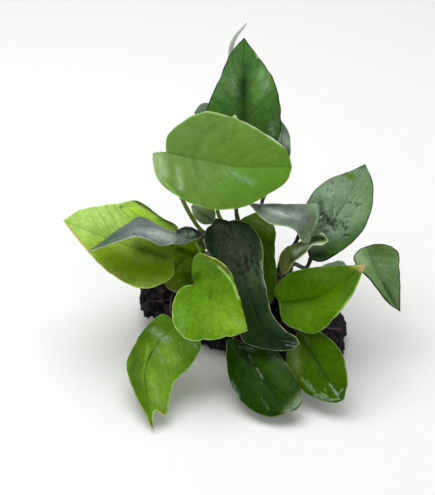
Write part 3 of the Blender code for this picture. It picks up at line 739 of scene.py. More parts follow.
            ([(36, -28.6), (38.4, -29.8)], 0.45, (158, 196, 130), 0.5),
            ([(40.6, -31.4), (43.8, -31)], 0.4, (176, 206, 150), 0.6),
            ([(37, -26.4), (38, -27.6)], 0.35, (140, 182, 104), 0.5),
        ),
        gleams=(
            ([(39.4, -24.4), (41.2, -26.8)], 0.45, 0.7), ([(41.6, -27.4), (43, -29.4)], 0.7, 0.8),
            ([(43.6, -28.8), (45.4, -26.6)], 0.4, 0.6), ([(33.5, -29.5), (40, -31.5)], 0.8, 0.7),
            ([(29.5, -23), (33, -28)], 0.5, 0.5), ([(24, -8), (26, -20)], 1.6, 0.1),
            ([(28, -2), (30, -6)], 0.8, 0.15),
        ),
    ),
    Leaf(
        "lower_leaf", "dark_leaf", (42, 88, 34), tone=(0.58, 0.52, 0.03),
        rib=[(-1, -6, 37), (4, -13, 44), (11, -24, 54), (19, -38, 61)],
        left=[(7, -6.5), (14.5, -9), (20, -15.5), (26, -25), (27.6, -31), (25, -35.7)],
        right=[(-6, -4), (-7, -12), (-5, -24), (2, -34.5), (8, -38), (13.5, -39.3)],
        lean=(2, 1), fold=0.06, foot=(0.53, 95), bends=((-1, 8, 32),), straight=True,
        rib_colour=(40, 78, 34), rib_strength=0.2, rim=0.5, roughness=0.26, ruffle=0.5, streaks=0.7,
        marks=(
            # Painted sheen on the lower right
            ([(21, -37), (26, -31)], 2.6, (104, 128, 96), 0.7),
            ([(0, -28), (12, -34)], 5, (34, 84, 24), 0.5),
            ([(15, -18), (20, -27)], 4, (54, 104, 26), 0.7),
        ),
        stains_shade_and_sheen=(
            # Painted sheen on the lower right
            ([(21, -36.5), (26, -31)], 1.9, (98, 122, 88), 0.7),
            ([(8, -15), (13, -19)], 1.7, (44, 92, 14), 0.5),
            ([(0, -14), (-2, -20)], 1.7, (40, 82, 14), 0.5),
            ([(13, -25), (20, -29)], 1.4, (22, 58, 8), 0.5),
            ([(1, -24), (6, -30)], 1.3, (24, 58, 10), 0.5),
            ([(22.2, -33.4), (24.6, -30)], 0.35, (56, 80, 44), 0.6),
            ([(20.4, -36), (22.8, -33.4)], 0.3, (60, 84, 50), 0.6),
            # A painted streak of sheen
            ([(24.4, -34.6), (26.8, -31)], 0.35, (150, 170, 140), 0.6),
        ),
        gleams=(
            ([(2.7, -11), (5, -14.6)], 0.45, 0.4), ([(6.4, -16.8), (9.2, -21.4)], 0.45, 0.5),
            ([(20, -37.5), (24, -34), (27, -29)], 1.5, 0.35), ([(-4.5, -24), (-1.5, -30)], 0.8, 0.45),
            ([(9, -31), (12, -36)], 0.6, 0.14), ([(-1, -8), (5, -9)], 0.8, 0.25),
            ([(12, -10), (20, -17)], 1.2, 0.12),
        ),
    ),
    Leaf(
        "torn_leaf", "green_leaf", (98, 148, 56), tone=(1.1, 0.97, 0.4),
        rib=[(-29, 3, 33), (-38, -5, 41), (-44, -18, 50), (-43, -30, 57), (-40, -45, 63)],
        left=[
            (-22, 0), (-18.5, -6.5), (-22, -15), (-30.5, -24), (-33, -33), (-34.5, -38.5),
            (-38.6, -36.5),
        ],
        right=[(-36, 7), (-41, 3.5), (-48, -5.5), (-52, -16), (-49, -27), (-43.5, -38)],
        lean=(4, -1), fold=0.2, soft=0.25, groove=0.03, foot=(0.29, 100), bends=((-18, 13, 29),),
        straight=True, rib_colour=(62, 108, 24), rib_strength=0.15, rim=0.8, roughness=0.28, quilt=0.08,
        ruffle=0.5, streaks=0.5,
        marks=(
            # Painted shade on the left half, which is angled away
            ([(-42, 3), (-48, -8), (-49, -20), (-44, -34)], 3.6, (70, 108, 18), 0.9),
            # Painted shade in the crease
            ([(-41.5, -4), (-45, -12), (-46, -22)], 0.7, (76, 116, 26), 0.4),
            # Painted highlight
            ([(-42.5, -6), (-43.6, -18)], 0.8, (142, 186, 96), 0.35),
            ([(-38, -22), (-36, -33)], 0.8, (84, 132, 40), 0.7),
            ([(-30, -2), (-28, -8)], 4, (84, 136, 48), 0.5),
            # The next two: painted sheen
            ([(-34, -8), (-30, -14)], 3, (144, 186, 112), 0.5),
            ([(-40, -20), (-37, -32)], 3, (120, 168, 78), 0.5),
        ),
        stains_shade_and_sheen=(
            ([(-35.5, -35.5), (-36.4, -38)], 0.8, (128, 116, 60), 0.7),
            ([(-40, -44.6), (-40.2, -42)], 0.7, (92, 86, 40), 0.9),
        ),
        nicks=(
            ((-35.6, -38.4), 0.8, 0.6), ((-37.1, -37.2), -0.9, 0.6), ((-33.7, -36), 0.5, 0.7),
            ((-34.2, -37.6), -0.5, 0.5),
        ),
        gleams=(
            ([(-40, -0.5), (-36, -2.6), (-33, -4)], 1.5, 0.7), ([(-24, -3), (-20.5, -8)], 1.0, 0.5),
            ([(-38, -8), (-35, -14)], 1.6, 0.15), ([(-40, -24), (-38, -32)], 1.4, 0.15),
        ),
    ),
    Leaf(
        "young_leaf", "grey_leaf", (120, 136, 112), tone=(1.15, 1.22, 0.84),
        rib=[(-12.5, 47.5, 14), (-17, 52, 15), (-23, 55.5, 13)],
        left=[(-17, 47.5), (-21.5, 50.5)],
        right=[(-12, 53), (-16, 57), (-20.5, 57.5)],
        foot=(0.33, -15), straight=True, rib_colour=(70, 90, 62), rib_strength=0.6, veins=6,
        marks=(
            ([(-14, 50), (-20, 53)], 1.0, (66, 84, 58), 0.7),
            ([(-19, 56), (-15, 55)], 1.5, (156, 170, 152), 0.6),
        ),
        stains_shade_and_sheen=(([(-22, 53.5), (-19.5, 57)], 1.4, (152, 162, 148), 0.6),),
    ),
    Leaf(
        # Its grey colour is partly painted sheen
        "back_left_leaf", "grey_leaf", (112, 134, 110),
        rib=[(-10, 87, 12), (-15.5, 93, 12), (-21.5, 97.5, 9)],
        left=[(-13, 86), (-19, 90)],
        right=[(-8.5, 94), (-12, 101), (-18, 102)],
        foot=(0.4, -60), bends=((-10.8, 52.5, 10),), straight=True, stalk=(108, 144, 54), rim=0.3,
        veins=6,
    ),
    Leaf(
        # Its grey colour is partly painted sheen
        "back_right_leaf", "grey_leaf", (86, 114, 84),
        rib=[(17.5, 74, 11), (18, 84, 12), (17, 95, 8)],
        left=[(13, 76), (11, 84), (13, 91)],
        right=[(20, 75), (22, 82), (21, 89)],
        foot=(0.64, -40), bends=((9.5, 59, 13),), straight=True, rim=0.3, veins=6,
        marks=(([(17, 87), (20.5, 84)], 2.4, (168, 182, 172), 0.9),),
    ),
    Leaf(
        "wisp_leaf", "grey_leaf", (186, 194, 192), tone=(1.22, 1.24, 1.25),
        rib=[(-3, 104, 7), (-4.5, 118, 7), (-4.5, 128, 8), (2.3, 138.3, 10)],
        left=[(-5, 112), (-6, 121), (-5.2, 129)],
        right=[(-3, 112), (-4.2, 121), (-3.2, 129)],
        lean=(4, -4), fold=0.02, arch=0.0, foot=(0.48, -75), bends=((-3, 84, 5), (-2.5, 53, 7)),
        straight=True, rim=0.2, veins=6,
    ),
]

# Places and colours


def linear(colour):
    """A colour as a screen shows it, 0 to 255, in the shader's own values."""
    shown = np.array(colour) / 255
    return np.where(shown <= 0.04045, shown / 12.92, ((shown + 0.055) / 1.055) ** 2.4)


def tinted(colours, target, share):
    """Colours moved this share of the way to another one."""
    return colours + (linear(target) - colours) * np.asarray(share)[..., None]


def falloff(away):
    """1 at no distance, and fading smoothly to almost nothing at 2."""
    return np.exp(-(away**2))


def seen(places):
    """The points, in millimetres, that the viewer sees at these places across, up and near."""
    places = np.asarray(places, float)
    near = places[..., 2]
    shrink = 1 - near / VIEW_DISTANCE
    across = VIEW_CENTRE[0] + (places[..., 0] - VIEW_CENTRE[0]) * shrink
    up = VIEW_CENTRE[1] + (places[..., 1] - VIEW_CENTRE[1]) * shrink
    back = up * math.sin(VIEW_RISE) - near * math.cos(VIEW_RISE)
    height = up * math.cos(VIEW_RISE) + near * math.sin(VIEW_RISE)
    return np.stack([across, back, height], -1)


def unit(vectors):
    return vectors / np.maximum(np.linalg.norm(vectors, axis=-1, keepdims=True), 1e-9)


def running_length(points):
    """How far along a chain of points each one is."""
    return np.concatenate([[0], np.cumsum(np.linalg.norm(np.diff(points, axis=0), axis=1))])


def along_path(points, fractions):
    """Points at these fractions of the length of a smooth curve through the given ones."""
    points = np.array(points, float)
    chords = np.diff(points, axis=0)
    steps = np.linalg.norm(chords, axis=1)[:, None]
    slopes = chords / steps
    inner = (slopes[:-1] * steps[1:] + slopes[1:] * steps[:-1]) / (steps[:-1] + steps[1:])
    tangents = np.vstack([slopes[:1], inner, slopes[-1:]])
    parts = []
    for i, step in enumerate(steps):
        for u in np.linspace(0, 1, STEPS_PER_SPAN, endpoint=False):
            start = (2 * u**3 - 3 * u**2 + 1) * points[i] + (u**3 - 2 * u**2 + u) * step * tangents[i]
            end = (3 * u**2 - 2 * u**3) * points[i + 1] + (u**3 - u**2) * step * tangents[i + 1]
            parts.append(start + end)
    parts = np.array(parts + [points[-1]])
    run = running_length(parts)
    return np.column_stack([np.interp(fractions * run[-1], run, column) for column in parts.T])


def distance_to_line(places, line):
    """How far each place across and up is from a line of such places."""
    line = np.array(line, float)
    nearest = np.full(places.shape[:-1], np.inf)
    for start, end in zip(line[:-1], line[1:]):
        run = end - start
        share = np.clip((places - start) @ run / (run @ run), 0, 1)
        away = np.linalg.norm(places - start - share[..., None] * run, axis=-1)
        nearest = np.minimum(nearest, away)
    return nearest


def noise_at(points, size, shift=0.0, octaves=1):
    """Smooth noise, about -1 to 1, with lumps of this size in millimetres."""
    flat = points.reshape(-1, 3) / size + shift
    if octaves == 1:
        values = [noise.noise(point) for point in flat]
    else:
        values = [noise.fractal(point, 0.8, 2.1, octaves) for point in flat]
    return np.array(values).reshape(points.shape[:-1])


def add_piece(name, points, faces, material, slot, replaces, **attributes):
    """A mesh piece, from points in millimetres, that rides on the plant and stands for CAD nodes."""
    mesh = bpy.data.meshes.new(name)
    mesh.from_pydata([tuple(point) for point in np.asarray(points) * MM], [], faces)
    for key, values in attributes.items():
        kind, field = ("FLOAT_COLOR", "color") if values.shape[1] == 4 else ("FLOAT_VECTOR", "vector")
        layer = mesh.attributes.new(key, kind, "POINT")
        layer.data.foreach_set(field, values.astype(np.float32).ravel())
    mesh.materials.append(material)
    mesh.shade_smooth()
    piece = bpy.data.objects.new(name, mesh)
    bpy.context.scene.collection.objects.link(piece)
    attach(piece, "root")
    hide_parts(*replaces)


# Materials


def shade(colour):
    return (*linear(colour), 1)


class Recipe:
    """A material and the steps that its shader nodes are put together from."""

    def __init__(self, name):
        self.material = bpy.data.materials.new(name)
        self.material.use_nodes = True
        self.tree = self.material.node_tree
        self.shader = self.tree.nodes["Principled BSDF"]

    def node(self, kind, inputs=None, **settings):
        """A shader node with its settings. An input takes a value or another node's output."""
        made = self.tree.nodes.new("ShaderNode" + kind)
        for key, value in settings.items():
            setattr(made, key, value)
        for key, value in (inputs or {}).items():
            if isinstance(value, bpy.types.NodeSocket):
                self.tree.links.new(value, made.inputs[key])
            else:
                made.inputs[key].default_value = value
        return made

    def attribute(self, name):
        return self.node("Attribute", attribute_name=name).outputs

    def parts(self, name):
        """The three numbers of an attribute."""
        return self.node("SeparateXYZ", {0: self.attribute(name)["Vector"]}).outputs

    def place(self):
        return self.node("TexCoord").outputs["Object"]

    def noise(self, vector, scale, detail):
        return self.node("TexNoise", {"Vector": vector, "Scale": scale, "Detail": detail}).outputs["Fac"]

    def grain(self, size, detail=2, shift=0.0, contrast=0.0):
        """Noise from 0 to 1 whose lumps have this size in millimetres on the object."""
        moved = self.node("VectorMath", {0: self.place(), 1: (shift, shift, 0)}, operation="ADD")
        value = self.noise(moved.outputs[0], 1 / (size * MM), detail)
        if contrast:
            value = self.remap(value, 0.5 - contrast, 0.5 + contrast)
        return value

    def cells(self, size):
        """How far each place is from the middle of its cell, for cells of this size."""
        made = self.node("TexVoronoi", {"Vector": self.place(), "Scale": 1 / (size * MM)})
        return made.outputs["Distance"]

    def remap(self, value, low, high, to_low=0.0, to_high=1.0, smooth=False):
        """The value with low and high moved to to_low and to_high, and held between them."""
        kind = {"interpolation_type": "SMOOTHSTEP"} if smooth else {}
        made = self.node("MapRange", {0: value, 1: low, 2: high, 3: to_low, 4: to_high}, **kind)
        return made.outputs[0]

    def maths(self, operation, a, b=0.0):
        return self.node("Math", {0: a, 1: b}, operation=operation).outputs[0]

    def times(self, a, b):
        return self.maths("MULTIPLY", a, b)

    def plus(self, a, b):
        return self.maths("ADD", a, b)

    def mix(self, factor, a, b, blend="MIX"):
        return self.node("Mix", {0: factor, 6: a, 7: b}, data_type="RGBA", blend_type=blend).outputs[2]

    def scaled(self, colour, factors):
        """The colour with its red, green and blue times these factors."""
        return self.mix(1.0, colour, (*factors, 1), "MULTIPLY")

    def between(self, factor, colour, low, high):
        """The colour times low where the factor is 0, and times high where it is 1."""
        return self.mix(factor, self.scaled(colour, low), self.scaled(colour, high))

    def finish(self, colour, roughness, height, bump_strength, bump_depth):
        """Sends the colour, roughness and fine relief to the surface."""
        self.tree.links.new(colour, self.shader.inputs["Base Color"])
        self.tree.links.new(roughness, self.shader.inputs["Roughness"])
        relief = {"Height": height, "Strength": bump_strength, "Distance": bump_depth * MM}
        self.tree.links.new(self.node("Bump", relief).outputs[0], self.shader.inputs["Normal"])

    def glow(self, weight):
        """Light that passes through living flesh."""
        self.shader.inputs["Subsurface Weight"].default_value = weight
        self.shader.inputs["Subsurface Radius"].default_value = GLOW_COLOURS
        self.shader.inputs["Subsurface Scale"].default_value = GLOW_DEPTH * MM


def leaf_material(name, specular, glow):
    """Living leaf: painted colour, patches, veins, streaks, cells, a pale or dark rim (the pale one
    partly painted rim light), painted highlights on glossy patches and a waxy gloss.
    """
    recipe = Recipe(name)
    paint = recipe.attribute("paint")
    rough, edge, wet_and_highlight = recipe.parts("skin")
    side_veins, from_rib, streaky = recipe.parts("vein")

    # Patches, mottles and streaks between the veins
    colour = paint["Color"]
    patches = recipe.grain(6, detail=3, contrast=0.22)
    patched = recipe.between(patches, colour, (0.76, 0.8, 0.7), (1.18, 1.15, 1.12))
    colour = recipe.mix(recipe.remap(streaky, 0, 1, 0.35, 1), colour, patched)
    mottles = recipe.grain(1.6, detail=4, shift=0.2, contrast=0.14)
    mottled = recipe.between(mottles, colour, (0.8, 0.85, 0.78), (1.18, 1.14, 1.2))
    colour = recipe.mix(recipe.remap(streaky, 0, 1, 0.15, 1), colour, mottled)
    along = recipe.node("CombineXYZ", {0: side_veins, 1: from_rib}).outputs[0]
    streaks = recipe.remap(recipe.noise(along, 6.0, 4.0), 0.34, 0.66)
    streaked = recipe.between(streaks, colour, (0.74, 0.8, 0.7), (1.24, 1.18, 1.22))
    colour = recipe.mix(streaky, colour, streaked)

    # Side veins, broken here and there and weaker near the rib, and small cells
    off_vein = recipe.maths("SUBTRACT", recipe.maths("FRACT", side_veins), 0.5)
    line = recipe.remap(recipe.maths("ABSOLUTE", off_vein), 0.01, 0.09, 1, 0, smooth=True)
    line = recipe.times(line, recipe.grain(3.2, detail=3, shift=0.6, contrast=0.12))
    line = recipe.times(line, recipe.remap(from_rib, 0.006, 0.02, 0.35, 1))
    colour = recipe.mix(recipe.times(line, 0.5), colour, recipe.scaled(colour, VEIN_TINT))
    cells = recipe.remap(recipe.cells(0.7), 0.1, 0.9, 0, 0.22)
    colour = recipe.mix(cells, colour, recipe.scaled(colour, VEIN_TINT))

    # A rim of uneven width, pale or dark by the paint's alpha
    # The pale rim is partly the margin's own colour and partly painted rim light
    width = recipe.remap(recipe.grain(4, detail=2, shift=0.3, contrast=0.2), 0, 1, 0.22, 0.85)
    pale_rim = recipe.remap(edge, 0.05, width, 1, 0, smooth=True)
    pale_rim = recipe.times(pale_rim, recipe.remap(paint["Alpha"], 0.5, 1))
    dark_rim = recipe.remap(edge, 0.2, recipe.times(width, 1.5), 1, 0, smooth=True)
    dark_rim = recipe.times(dark_rim, recipe.remap(paint["Alpha"], 0.5, 0))
    pale = recipe.mix(0.5, recipe.scaled(colour, (2.0, 1.9, 2.2)), shade((206, 218, 160)))
    colour = recipe.mix(pale_rim, colour, pale)
    colour = recipe.mix(dark_rim, colour, recipe.scaled(colour, (0.16, 0.18, 0.2)))

    # Glossy patches, flecked along the veins: painted highlights and a smoother gloss
    flecks = recipe.remap(recipe.noise(along, 4.0, 3.0), 0.36, 0.62, 0.1, 1)
    flecks = recipe.times(flecks, recipe.grain(1.4, detail=3, shift=0.9, contrast=0.2))
    gleam = recipe.times(wet_and_highlight, recipe.remap(flecks, 0.05, 0.6, 0.15, 0.8))
    colour = recipe.mix(gleam, colour, shade((196, 214, 196)))

    worn = recipe.remap(recipe.grain(3.5, detail=3, shift=0.7), 0.3, 0.75, -0.06, 0.1)
    smoothed = recipe.times(recipe.remap(wet_and_highlight, 0, 0.5), -0.14)
    roughness = recipe.plus(recipe.plus(rough, worn), smoothed)
    height = recipe.plus(recipe.times(recipe.grain(0.45), 0.35), recipe.times(line, -0.5))
    height = recipe.plus(height, recipe.times(streaks, 0.5))
    height = recipe.plus(height, recipe.times(mottles, 0.5))
    recipe.finish(colour, roughness, height, 0.4, 0.14)
    recipe.shader.inputs["Specular IOR Level"].default_value = specular
    recipe.glow(glow)
    return recipe.material


def stalk_material():
    """Smooth petiole skin: painted colour, lengthwise streaks and faint specks."""
    recipe = Recipe("stalk")
    streaks = recipe.noise(recipe.attribute("vein")["Vector"], 2.2, 4.0)
    paint = recipe.attribute("paint")["Color"]
    colour = recipe.between(recipe.remap(streaks, 0.35, 0.65), paint, (0.72, 0.74, 0.7), (1.3, 1.28, 1.2))
    specks = recipe.remap(recipe.grain(0.5), 0.62, 0.75, 0, 0.5)
    colour = recipe.mix(specks, colour, recipe.scaled(colour, (0.5, 0.45, 0.4)))
    recipe.finish(colour, recipe.remap(streaks, 0.3, 0.7, 0.32, 0.48), streaks, 0.4, 0.15)
    recipe.glow(0.15)
    return recipe.material


def woody_material(name, roughness):
    """Rhizome and root skin: painted colour with flakes, and dirt in patches."""
    recipe = Recipe(name)
    flakes = recipe.grain(1.6, detail=4, contrast=0.18)
    paint = recipe.attribute("paint")["Color"]
    colour = recipe.between(flakes, paint, (0.5, 0.48, 0.45), (1.35, 1.3, 1.2))
    dirt = recipe.remap(recipe.grain(4, detail=3, shift=0.5), 0.5, 0.75, 0, 0.6)
    colour = recipe.mix(dirt, colour, shade((44, 34, 22)))
    height = recipe.plus(recipe.grain(0.6, detail=3), flakes)
    uneven = recipe.remap(flakes, 0, 1, roughness + 0.12, roughness - 0.08)
    recipe.finish(colour, uneven, height, 0.6, 0.25)
    return recipe.material


def stone_material():
    """Black lava: fine vesicles and sunk bubbles with painted shade, gritty crust paler where raised, a
    faint violet and rust tint.
    """
    recipe = Recipe("stone")
    depth = recipe.parts("lava")[0]
    tint = recipe.grain(14, detail=3, contrast=0.2)
    colour = recipe.mix(tint, shade((22, 21, 23)), shade((40, 35, 42)))
    rust = recipe.remap(recipe.grain(9, detail=4, shift=0.4), 0.58, 0.72, 0, 0.5)
    colour = recipe.mix(rust, colour, shade((58, 44, 38)))
    # Paler where the crust stands out
    colour = recipe.mix(recipe.remap(depth, -0.1, 0.5, 0, 0.55), colour, shade((58, 56, 57)))
    # Painted shade in the sunk bubbles
    colour = recipe.mix(recipe.remap(depth, -0.2, -1.2, 0, 0.9), colour, shade((8, 8, 9)))
    small = recipe.remap(recipe.cells(1.3), 0.12, 0.4, smooth=True)
    tiny = recipe.remap(recipe.cells(0.55), 0.1, 0.45, smooth=True)
    # Painted shade in the fine vesicles
    vesicles = recipe.times(recipe.maths("SUBTRACT", 1.0, small), 0.7)
    colour = recipe.mix(vesicles, colour, shade((6, 6, 7)))
    specks = recipe.remap(recipe.grain(0.35, detail=1), 0.7, 0.78, 0, 0.5)
    colour = recipe.mix(specks, colour, shade((120, 116, 112)))
    roughness = recipe.remap(recipe.grain(1.2, detail=3), 0.3, 0.7, 0.72, 0.95)
    height = recipe.plus(small, recipe.times(tiny, 0.45))
    height = recipe.plus(height, recipe.times(recipe.grain(0.8, detail=4), 0.6))
    recipe.finish(colour, roughness, height, 0.9, 0.5)
    recipe.shader.inputs["Specular IOR Level"].default_value = 0.15
    return recipe.material


def floor_material():
    """Pale matte studio board with a barely visible tooth."""
    recipe = Recipe("floor")
    colour = recipe.mix(recipe.grain(2.0, detail=3), shade((238, 238, 237)), shade((243, 243, 242)))
    recipe.tree.links.new(colour, recipe.shader.inputs["Base Color"])
    recipe.shader.inputs["Roughness"].default_value = 0.9
    return recipe.material


# Blades


def crinkles(leaf, number):
    """Short wrinkles scattered round a place, painted shade in each and a painted glint: marks and
    creases.
    """
    marks, creases = [], []
    rng = np.random.default_rng(number)
    glint_colour = tuple(GLINT_GAIN * value for value in leaf.colour)
    for middle, reach, count, slant, colour in leaf.crinkles:
        for _ in range(count):
            start = np.array(middle) + rng.normal(0, reach / 2, 2)
            angle = math.radians(slant + rng.normal(0, WRINKLE_SPREAD))
            bend = math.radians(rng.normal(0, WRINKLE_BEND))
            length = rng.uniform(*WRINKLE_LENGTHS)
            corner = start + length / 2 * np.array((math.cos(angle), math.sin(angle)))
            end = corner + length / 2 * np.array((math.cos(angle + bend), math.sin(angle + bend)))
            line = [start, corner, end]
            size = rng.uniform(*WRINKLE_SIZES)
            # A dark mark: painted shade in the furrow
            marks.append((line, size, colour, rng.uniform(*WRINKLE_STRENGTHS)))
            # A pale mark beside it: a painted glint
            glint = [start + GLINT_OFFSET, corner + GLINT_OFFSET]
            marks.insert(0, (glint, GLINT_SIZE, glint_colour, rng.uniform(*GLINT_STRENGTHS)))
            creases.append((line, size * WRINKLE_WIDENING, -rng.uniform(*WRINKLE_DEPTHS)))
    return marks, creases


def blade_grid(leaf, t, s):
    """The blade's middle surface at fractions t along it and s across it, from -1 to 1."""
    rib = along_path(leaf.rib, t**RIB_LAG)
    window = np.sin(math.pi * t) ** FULLNESS
    edges = []
    for side, (points, lean) in enumerate(((leaf.left, leaf.lean[0]), (leaf.right, leaf.lean[1]))):
        flat = along_path([leaf.rib[0][:2], *points, leaf.rib[-1][:2]], t)
        away = unit(flat - rib[:, :2])
        wobble = noise_at(np.column_stack([flat, t * 0 + side * 50]), MARGIN_SIZE) * MARGIN_WOBBLE
        flat = flat + away * (wobble * window)[:, None]
        for place, height, size in leaf.nicks:
            gap = np.linalg.norm(flat - np.array(place), axis=1)
            flat = flat + away * (height * falloff(gap / size))[:, None]
        edges.append(np.column_stack([flat, rib[:, 2] + lean * window]))
    forward = np.gradient(seen(rib), axis=0)
    up = unit(np.cross(seen(edges[1]) - seen(edges[0]), forward))
    up[0], up[-1] = up[1], up[-2]
    reach = np.where((s < 0)[None, :, None], edges[0][:, None], edges[1][:, None]) - rib[:, None]
    places = rib[:, None] + reach * np.abs(s)[None, :, None]
    breadth = np.linalg.norm(reach, axis=2)
    away = np.sqrt(s**2 + leaf.soft**2)[None, :]
    rise = 4 * leaf.arch * away * (1 - away) - leaf.fold * (1 - away) * window[:, None]
    count, height = leaf.waves
    phase = math.tau * (count * t[:, None] + WAVE_SHIFT * np.sign(s)[None, :])
    ripple = height * np.sin(phase) * s[None, :] ** 2 * window[:, None]
    middle = seen(places) + up[:, None] * (rise * breadth + ripple)[..., None]
    return places, middle, up, breadth


def blade_normals(middle):
    normals = unit(np.cross(np.gradient(middle, axis=1), np.gradient(middle, axis=0)))
    normals[0] = normals[1]
    normals[-1] = normals[-2]
    return normals


def rim_distance(middle):
    """How far each point of the blade is from its rim."""
    outline = np.concatenate([middle[:, 0], middle[:, -1]])
    away = np.linalg.norm(middle.reshape(-1, 3)[:, None] - outline[None], axis=2)
    edge = np.min(away, axis=1).reshape(middle.shape[:2])
    edge[:, 0] = 0
    edge[:, -1] = 0
    return edge


def skin_faces(rows, columns):
    """Faces of an upper and a lower sheet of points that share their rim, and the points in use."""
    top = np.arange(rows * columns).reshape(rows, columns)
    low = top + rows * columns
    top[0] = top[0, columns // 2]
    top[-1] = top[-1, columns // 2]
    for side in ((slice(None), 0), (slice(None), -1), (0, slice(None)), (-1, slice(None))):
        low[side] = top[side]
    faces = []
    for ids, step in ((top, 1), (low, -1)):
        corners = np.stack([ids[:-1, :-1], ids[:-1, 1:], ids[1:, 1:], ids[1:, :-1]], -1).reshape(-1, 4)
        faces += [list(dict.fromkeys(face))[::step] for face in corners.tolist()]
    faces = [face for face in faces if len(face) > 2]
    used = np.unique(np.concatenate(faces))
    renamed = np.zeros(2 * rows * columns, int)
    renamed[used] = np.arange(len(used))
    return [renamed[face].tolist() for face in faces], used


def painted(leaf, marks, places, across):
    """The blade's colour, with painted shade and highlights among its marks, and its wetness at each
    place.
    """
    flat = places[..., :2]
    colour = np.broadcast_to(linear(leaf.colour), (*flat.shape[:2], 3))
    for line, size, target, strength in marks:
        colour = tinted(colour, target, strength * falloff(distance_to_line(flat, line) / size))
    colour = tinted(colour, leaf.rib_colour, leaf.rib_strength * falloff(across / RIB_WIDTH)) * leaf.tone
    for line, size, target, strength in leaf.stains_shade_and_sheen:
        colour = tinted(colour, target, strength * falloff(distance_to_line(flat, line) / size))
    wet_and_highlight = np.zeros(flat.shape[:2])
    # Glossy patches, which the material also paints with a highlight
    for line, size, strength in leaf.gleams:
        wet_and_highlight = np.maximum(wet_and_highlight, strength * falloff(distance_to_line(flat, line) / size))
    return colour, wet_and_highlight


def both_sides(top, low):
    """Values at each point of the upper side, then of the lower side."""
    return np.concatenate([np.dstack(side).reshape(-1, len(side)) for side in (top, low)])


def add_blade(leaf, material, number):
    """A blade of real thickness: sunken rib and veins above, raised below, rounded rim."""
    rib = seen(along_path(leaf.rib, np.linspace(0, 1, 40)))
    rows = int(running_length(rib)[-1] / leaf.spacing)
    _, _, _, breadth = blade_grid(leaf, np.linspace(0, 1, 20), np.array((-1.0, 1.0)))
    half = np.union1d(np.linspace(0, 1, int(breadth.max() / leaf.spacing) + 3), EXTRA_COLUMNS)
    t = np.linspace(0, 1, rows + 1)
    s = np.concatenate([-half[:0:-1], half])
    places, middle, _, breadth = blade_grid(leaf, t, s)
    normals = blade_normals(middle)
    edge = rim_distance(middle)
    across = np.abs(s)[None] * breadth
    along = t[:, None]

    # Relief: veins, sway, flutter of the rim, creases, the rib's groove above and ridge below
    fade = np.clip(np.minimum(along, 1 - along) / END_FADE, 0, 1)
    phase = leaf.veins * (along - VEIN_SLANT * np.abs(s)[None] ** VEIN_CURVE)
    phase = phase + 0.5 * (s[None] > 0) + number * VEIN_OFFSET
    inside = np.clip(across / VEIN_CLEAR, 0, 1) * np.clip(edge / VEIN_CLEAR, 0, 1) * fade
    quilt = leaf.quilt * (QUILT_RISE - falloff(np.abs(phase % 1 - 0.5) / VEIN_WIDTH)) * inside
    sway = noise_at(middle, SWAY_SIZE, number * SWAY_SHIFT) * leaf.ruffle
    shift = sway * np.clip(edge / SWAY_FADE, SWAY_LEAST, 1) * fade
    flutter = noise_at(middle, FLUTTER_SIZE, number * FLUTTER_SHIFT + FLUTTER_START)
    flutter = flutter * leaf.ruffle * FLUTTER_HEIGHT
    shift = shift + flutter * np.exp(-edge / FLUTTER_REACH) * fade
    more_marks, more_creases = crinkles(leaf, number)
    for line, size, height in [*leaf.creases, *more_creases]:
        away = distance_to_line(places[..., :2], line)
        shift = shift + height * falloff(away / size) * np.clip(edge / CREASE_FADE, CREASE_LEAST, 1)
    groove = leaf.groove * falloff(across / GROOVE_WIDTH) * (1 - GROOVE_LOSS * along) * fade
    ridge = RIDGE_HEIGHT * falloff(across / RIDGE_WIDTH) * (1 - RIDGE_LOSS * along) ** RIDGE_CURVE
    round_off = np.clip(edge / RIM_ROUNDING, 0, 1)
    half = SKIN_HALF * np.sqrt(1 - (1 - round_off) ** 2)
    top = middle + normals * (shift + half + quilt - groove)[..., None]
    low = middle + normals * (shift - half + QUILT_BELOW * quilt - ridge * round_off)[..., None]
    points = np.concatenate([top.reshape(-1, 3), low.reshape(-1, 3)])
    faces, used = skin_faces(*edge.shape)

    # Paint: colour with the rim's kind as alpha, roughness, edge and wetness with its painted highlight,
    # and the veins' course
    colour, wet_and_highlight = painted(leaf, [*leaf.marks, *more_marks], places, across)
    under = (1 - UNDER_SHARE) * colour + UNDER_SHARE * linear(UNDER_COLOUR)
    even = np.ones(edge.shape)
    rim = even * (0.5 + 0.5 * leaf.rim)
    paint = both_sides((*np.moveaxis(colour, -1, 0), rim), (*np.moveaxis(under, -1, 0), rim))
    skin = both_sides((even * leaf.roughness, edge, wet_and_highlight), (even * UNDER_ROUGHNESS, edge, even * 0))
    course = (phase, across * STREAK_SCALE, even * leaf.streaks)
    vein = both_sides(course, course)
    add_piece(
        leaf.name + "_blade", points[used], faces, material, leaf.slot, [leaf.name],
        paint=paint[used], skin=skin[used], vein=vein[used],
    )


# Stems


def along_stone(run, side, height):
    """A place so far along the stone, to its front side, and over the ground."""
    sine, cosine = math.sin(STONE_TURN), math.cos(STONE_TURN)
    return np.array((run * cosine - side * sine, -run * sine - side * cosine, height))


def rhizome_place(fraction):
    run = RHIZOME_REACH[0] + fraction * (RHIZOME_REACH[1] - RHIZOME_REACH[0])
    sway = RHIZOME_SWAY * math.sin(fraction * RHIZOME_WINDING)
    sag = RHIZOME_SAG * (2 * fraction - 1) ** 2
    return along_stone(run, -sway, RHIZOME_HEIGHT - sag)


def rhizome_outward(angle):
    """The direction out of the rhizome: 0 is straight up, 90 is level towards the viewer."""
    lean = math.radians(angle)
    return along_stone(0, math.sin(lean), math.cos(lean))


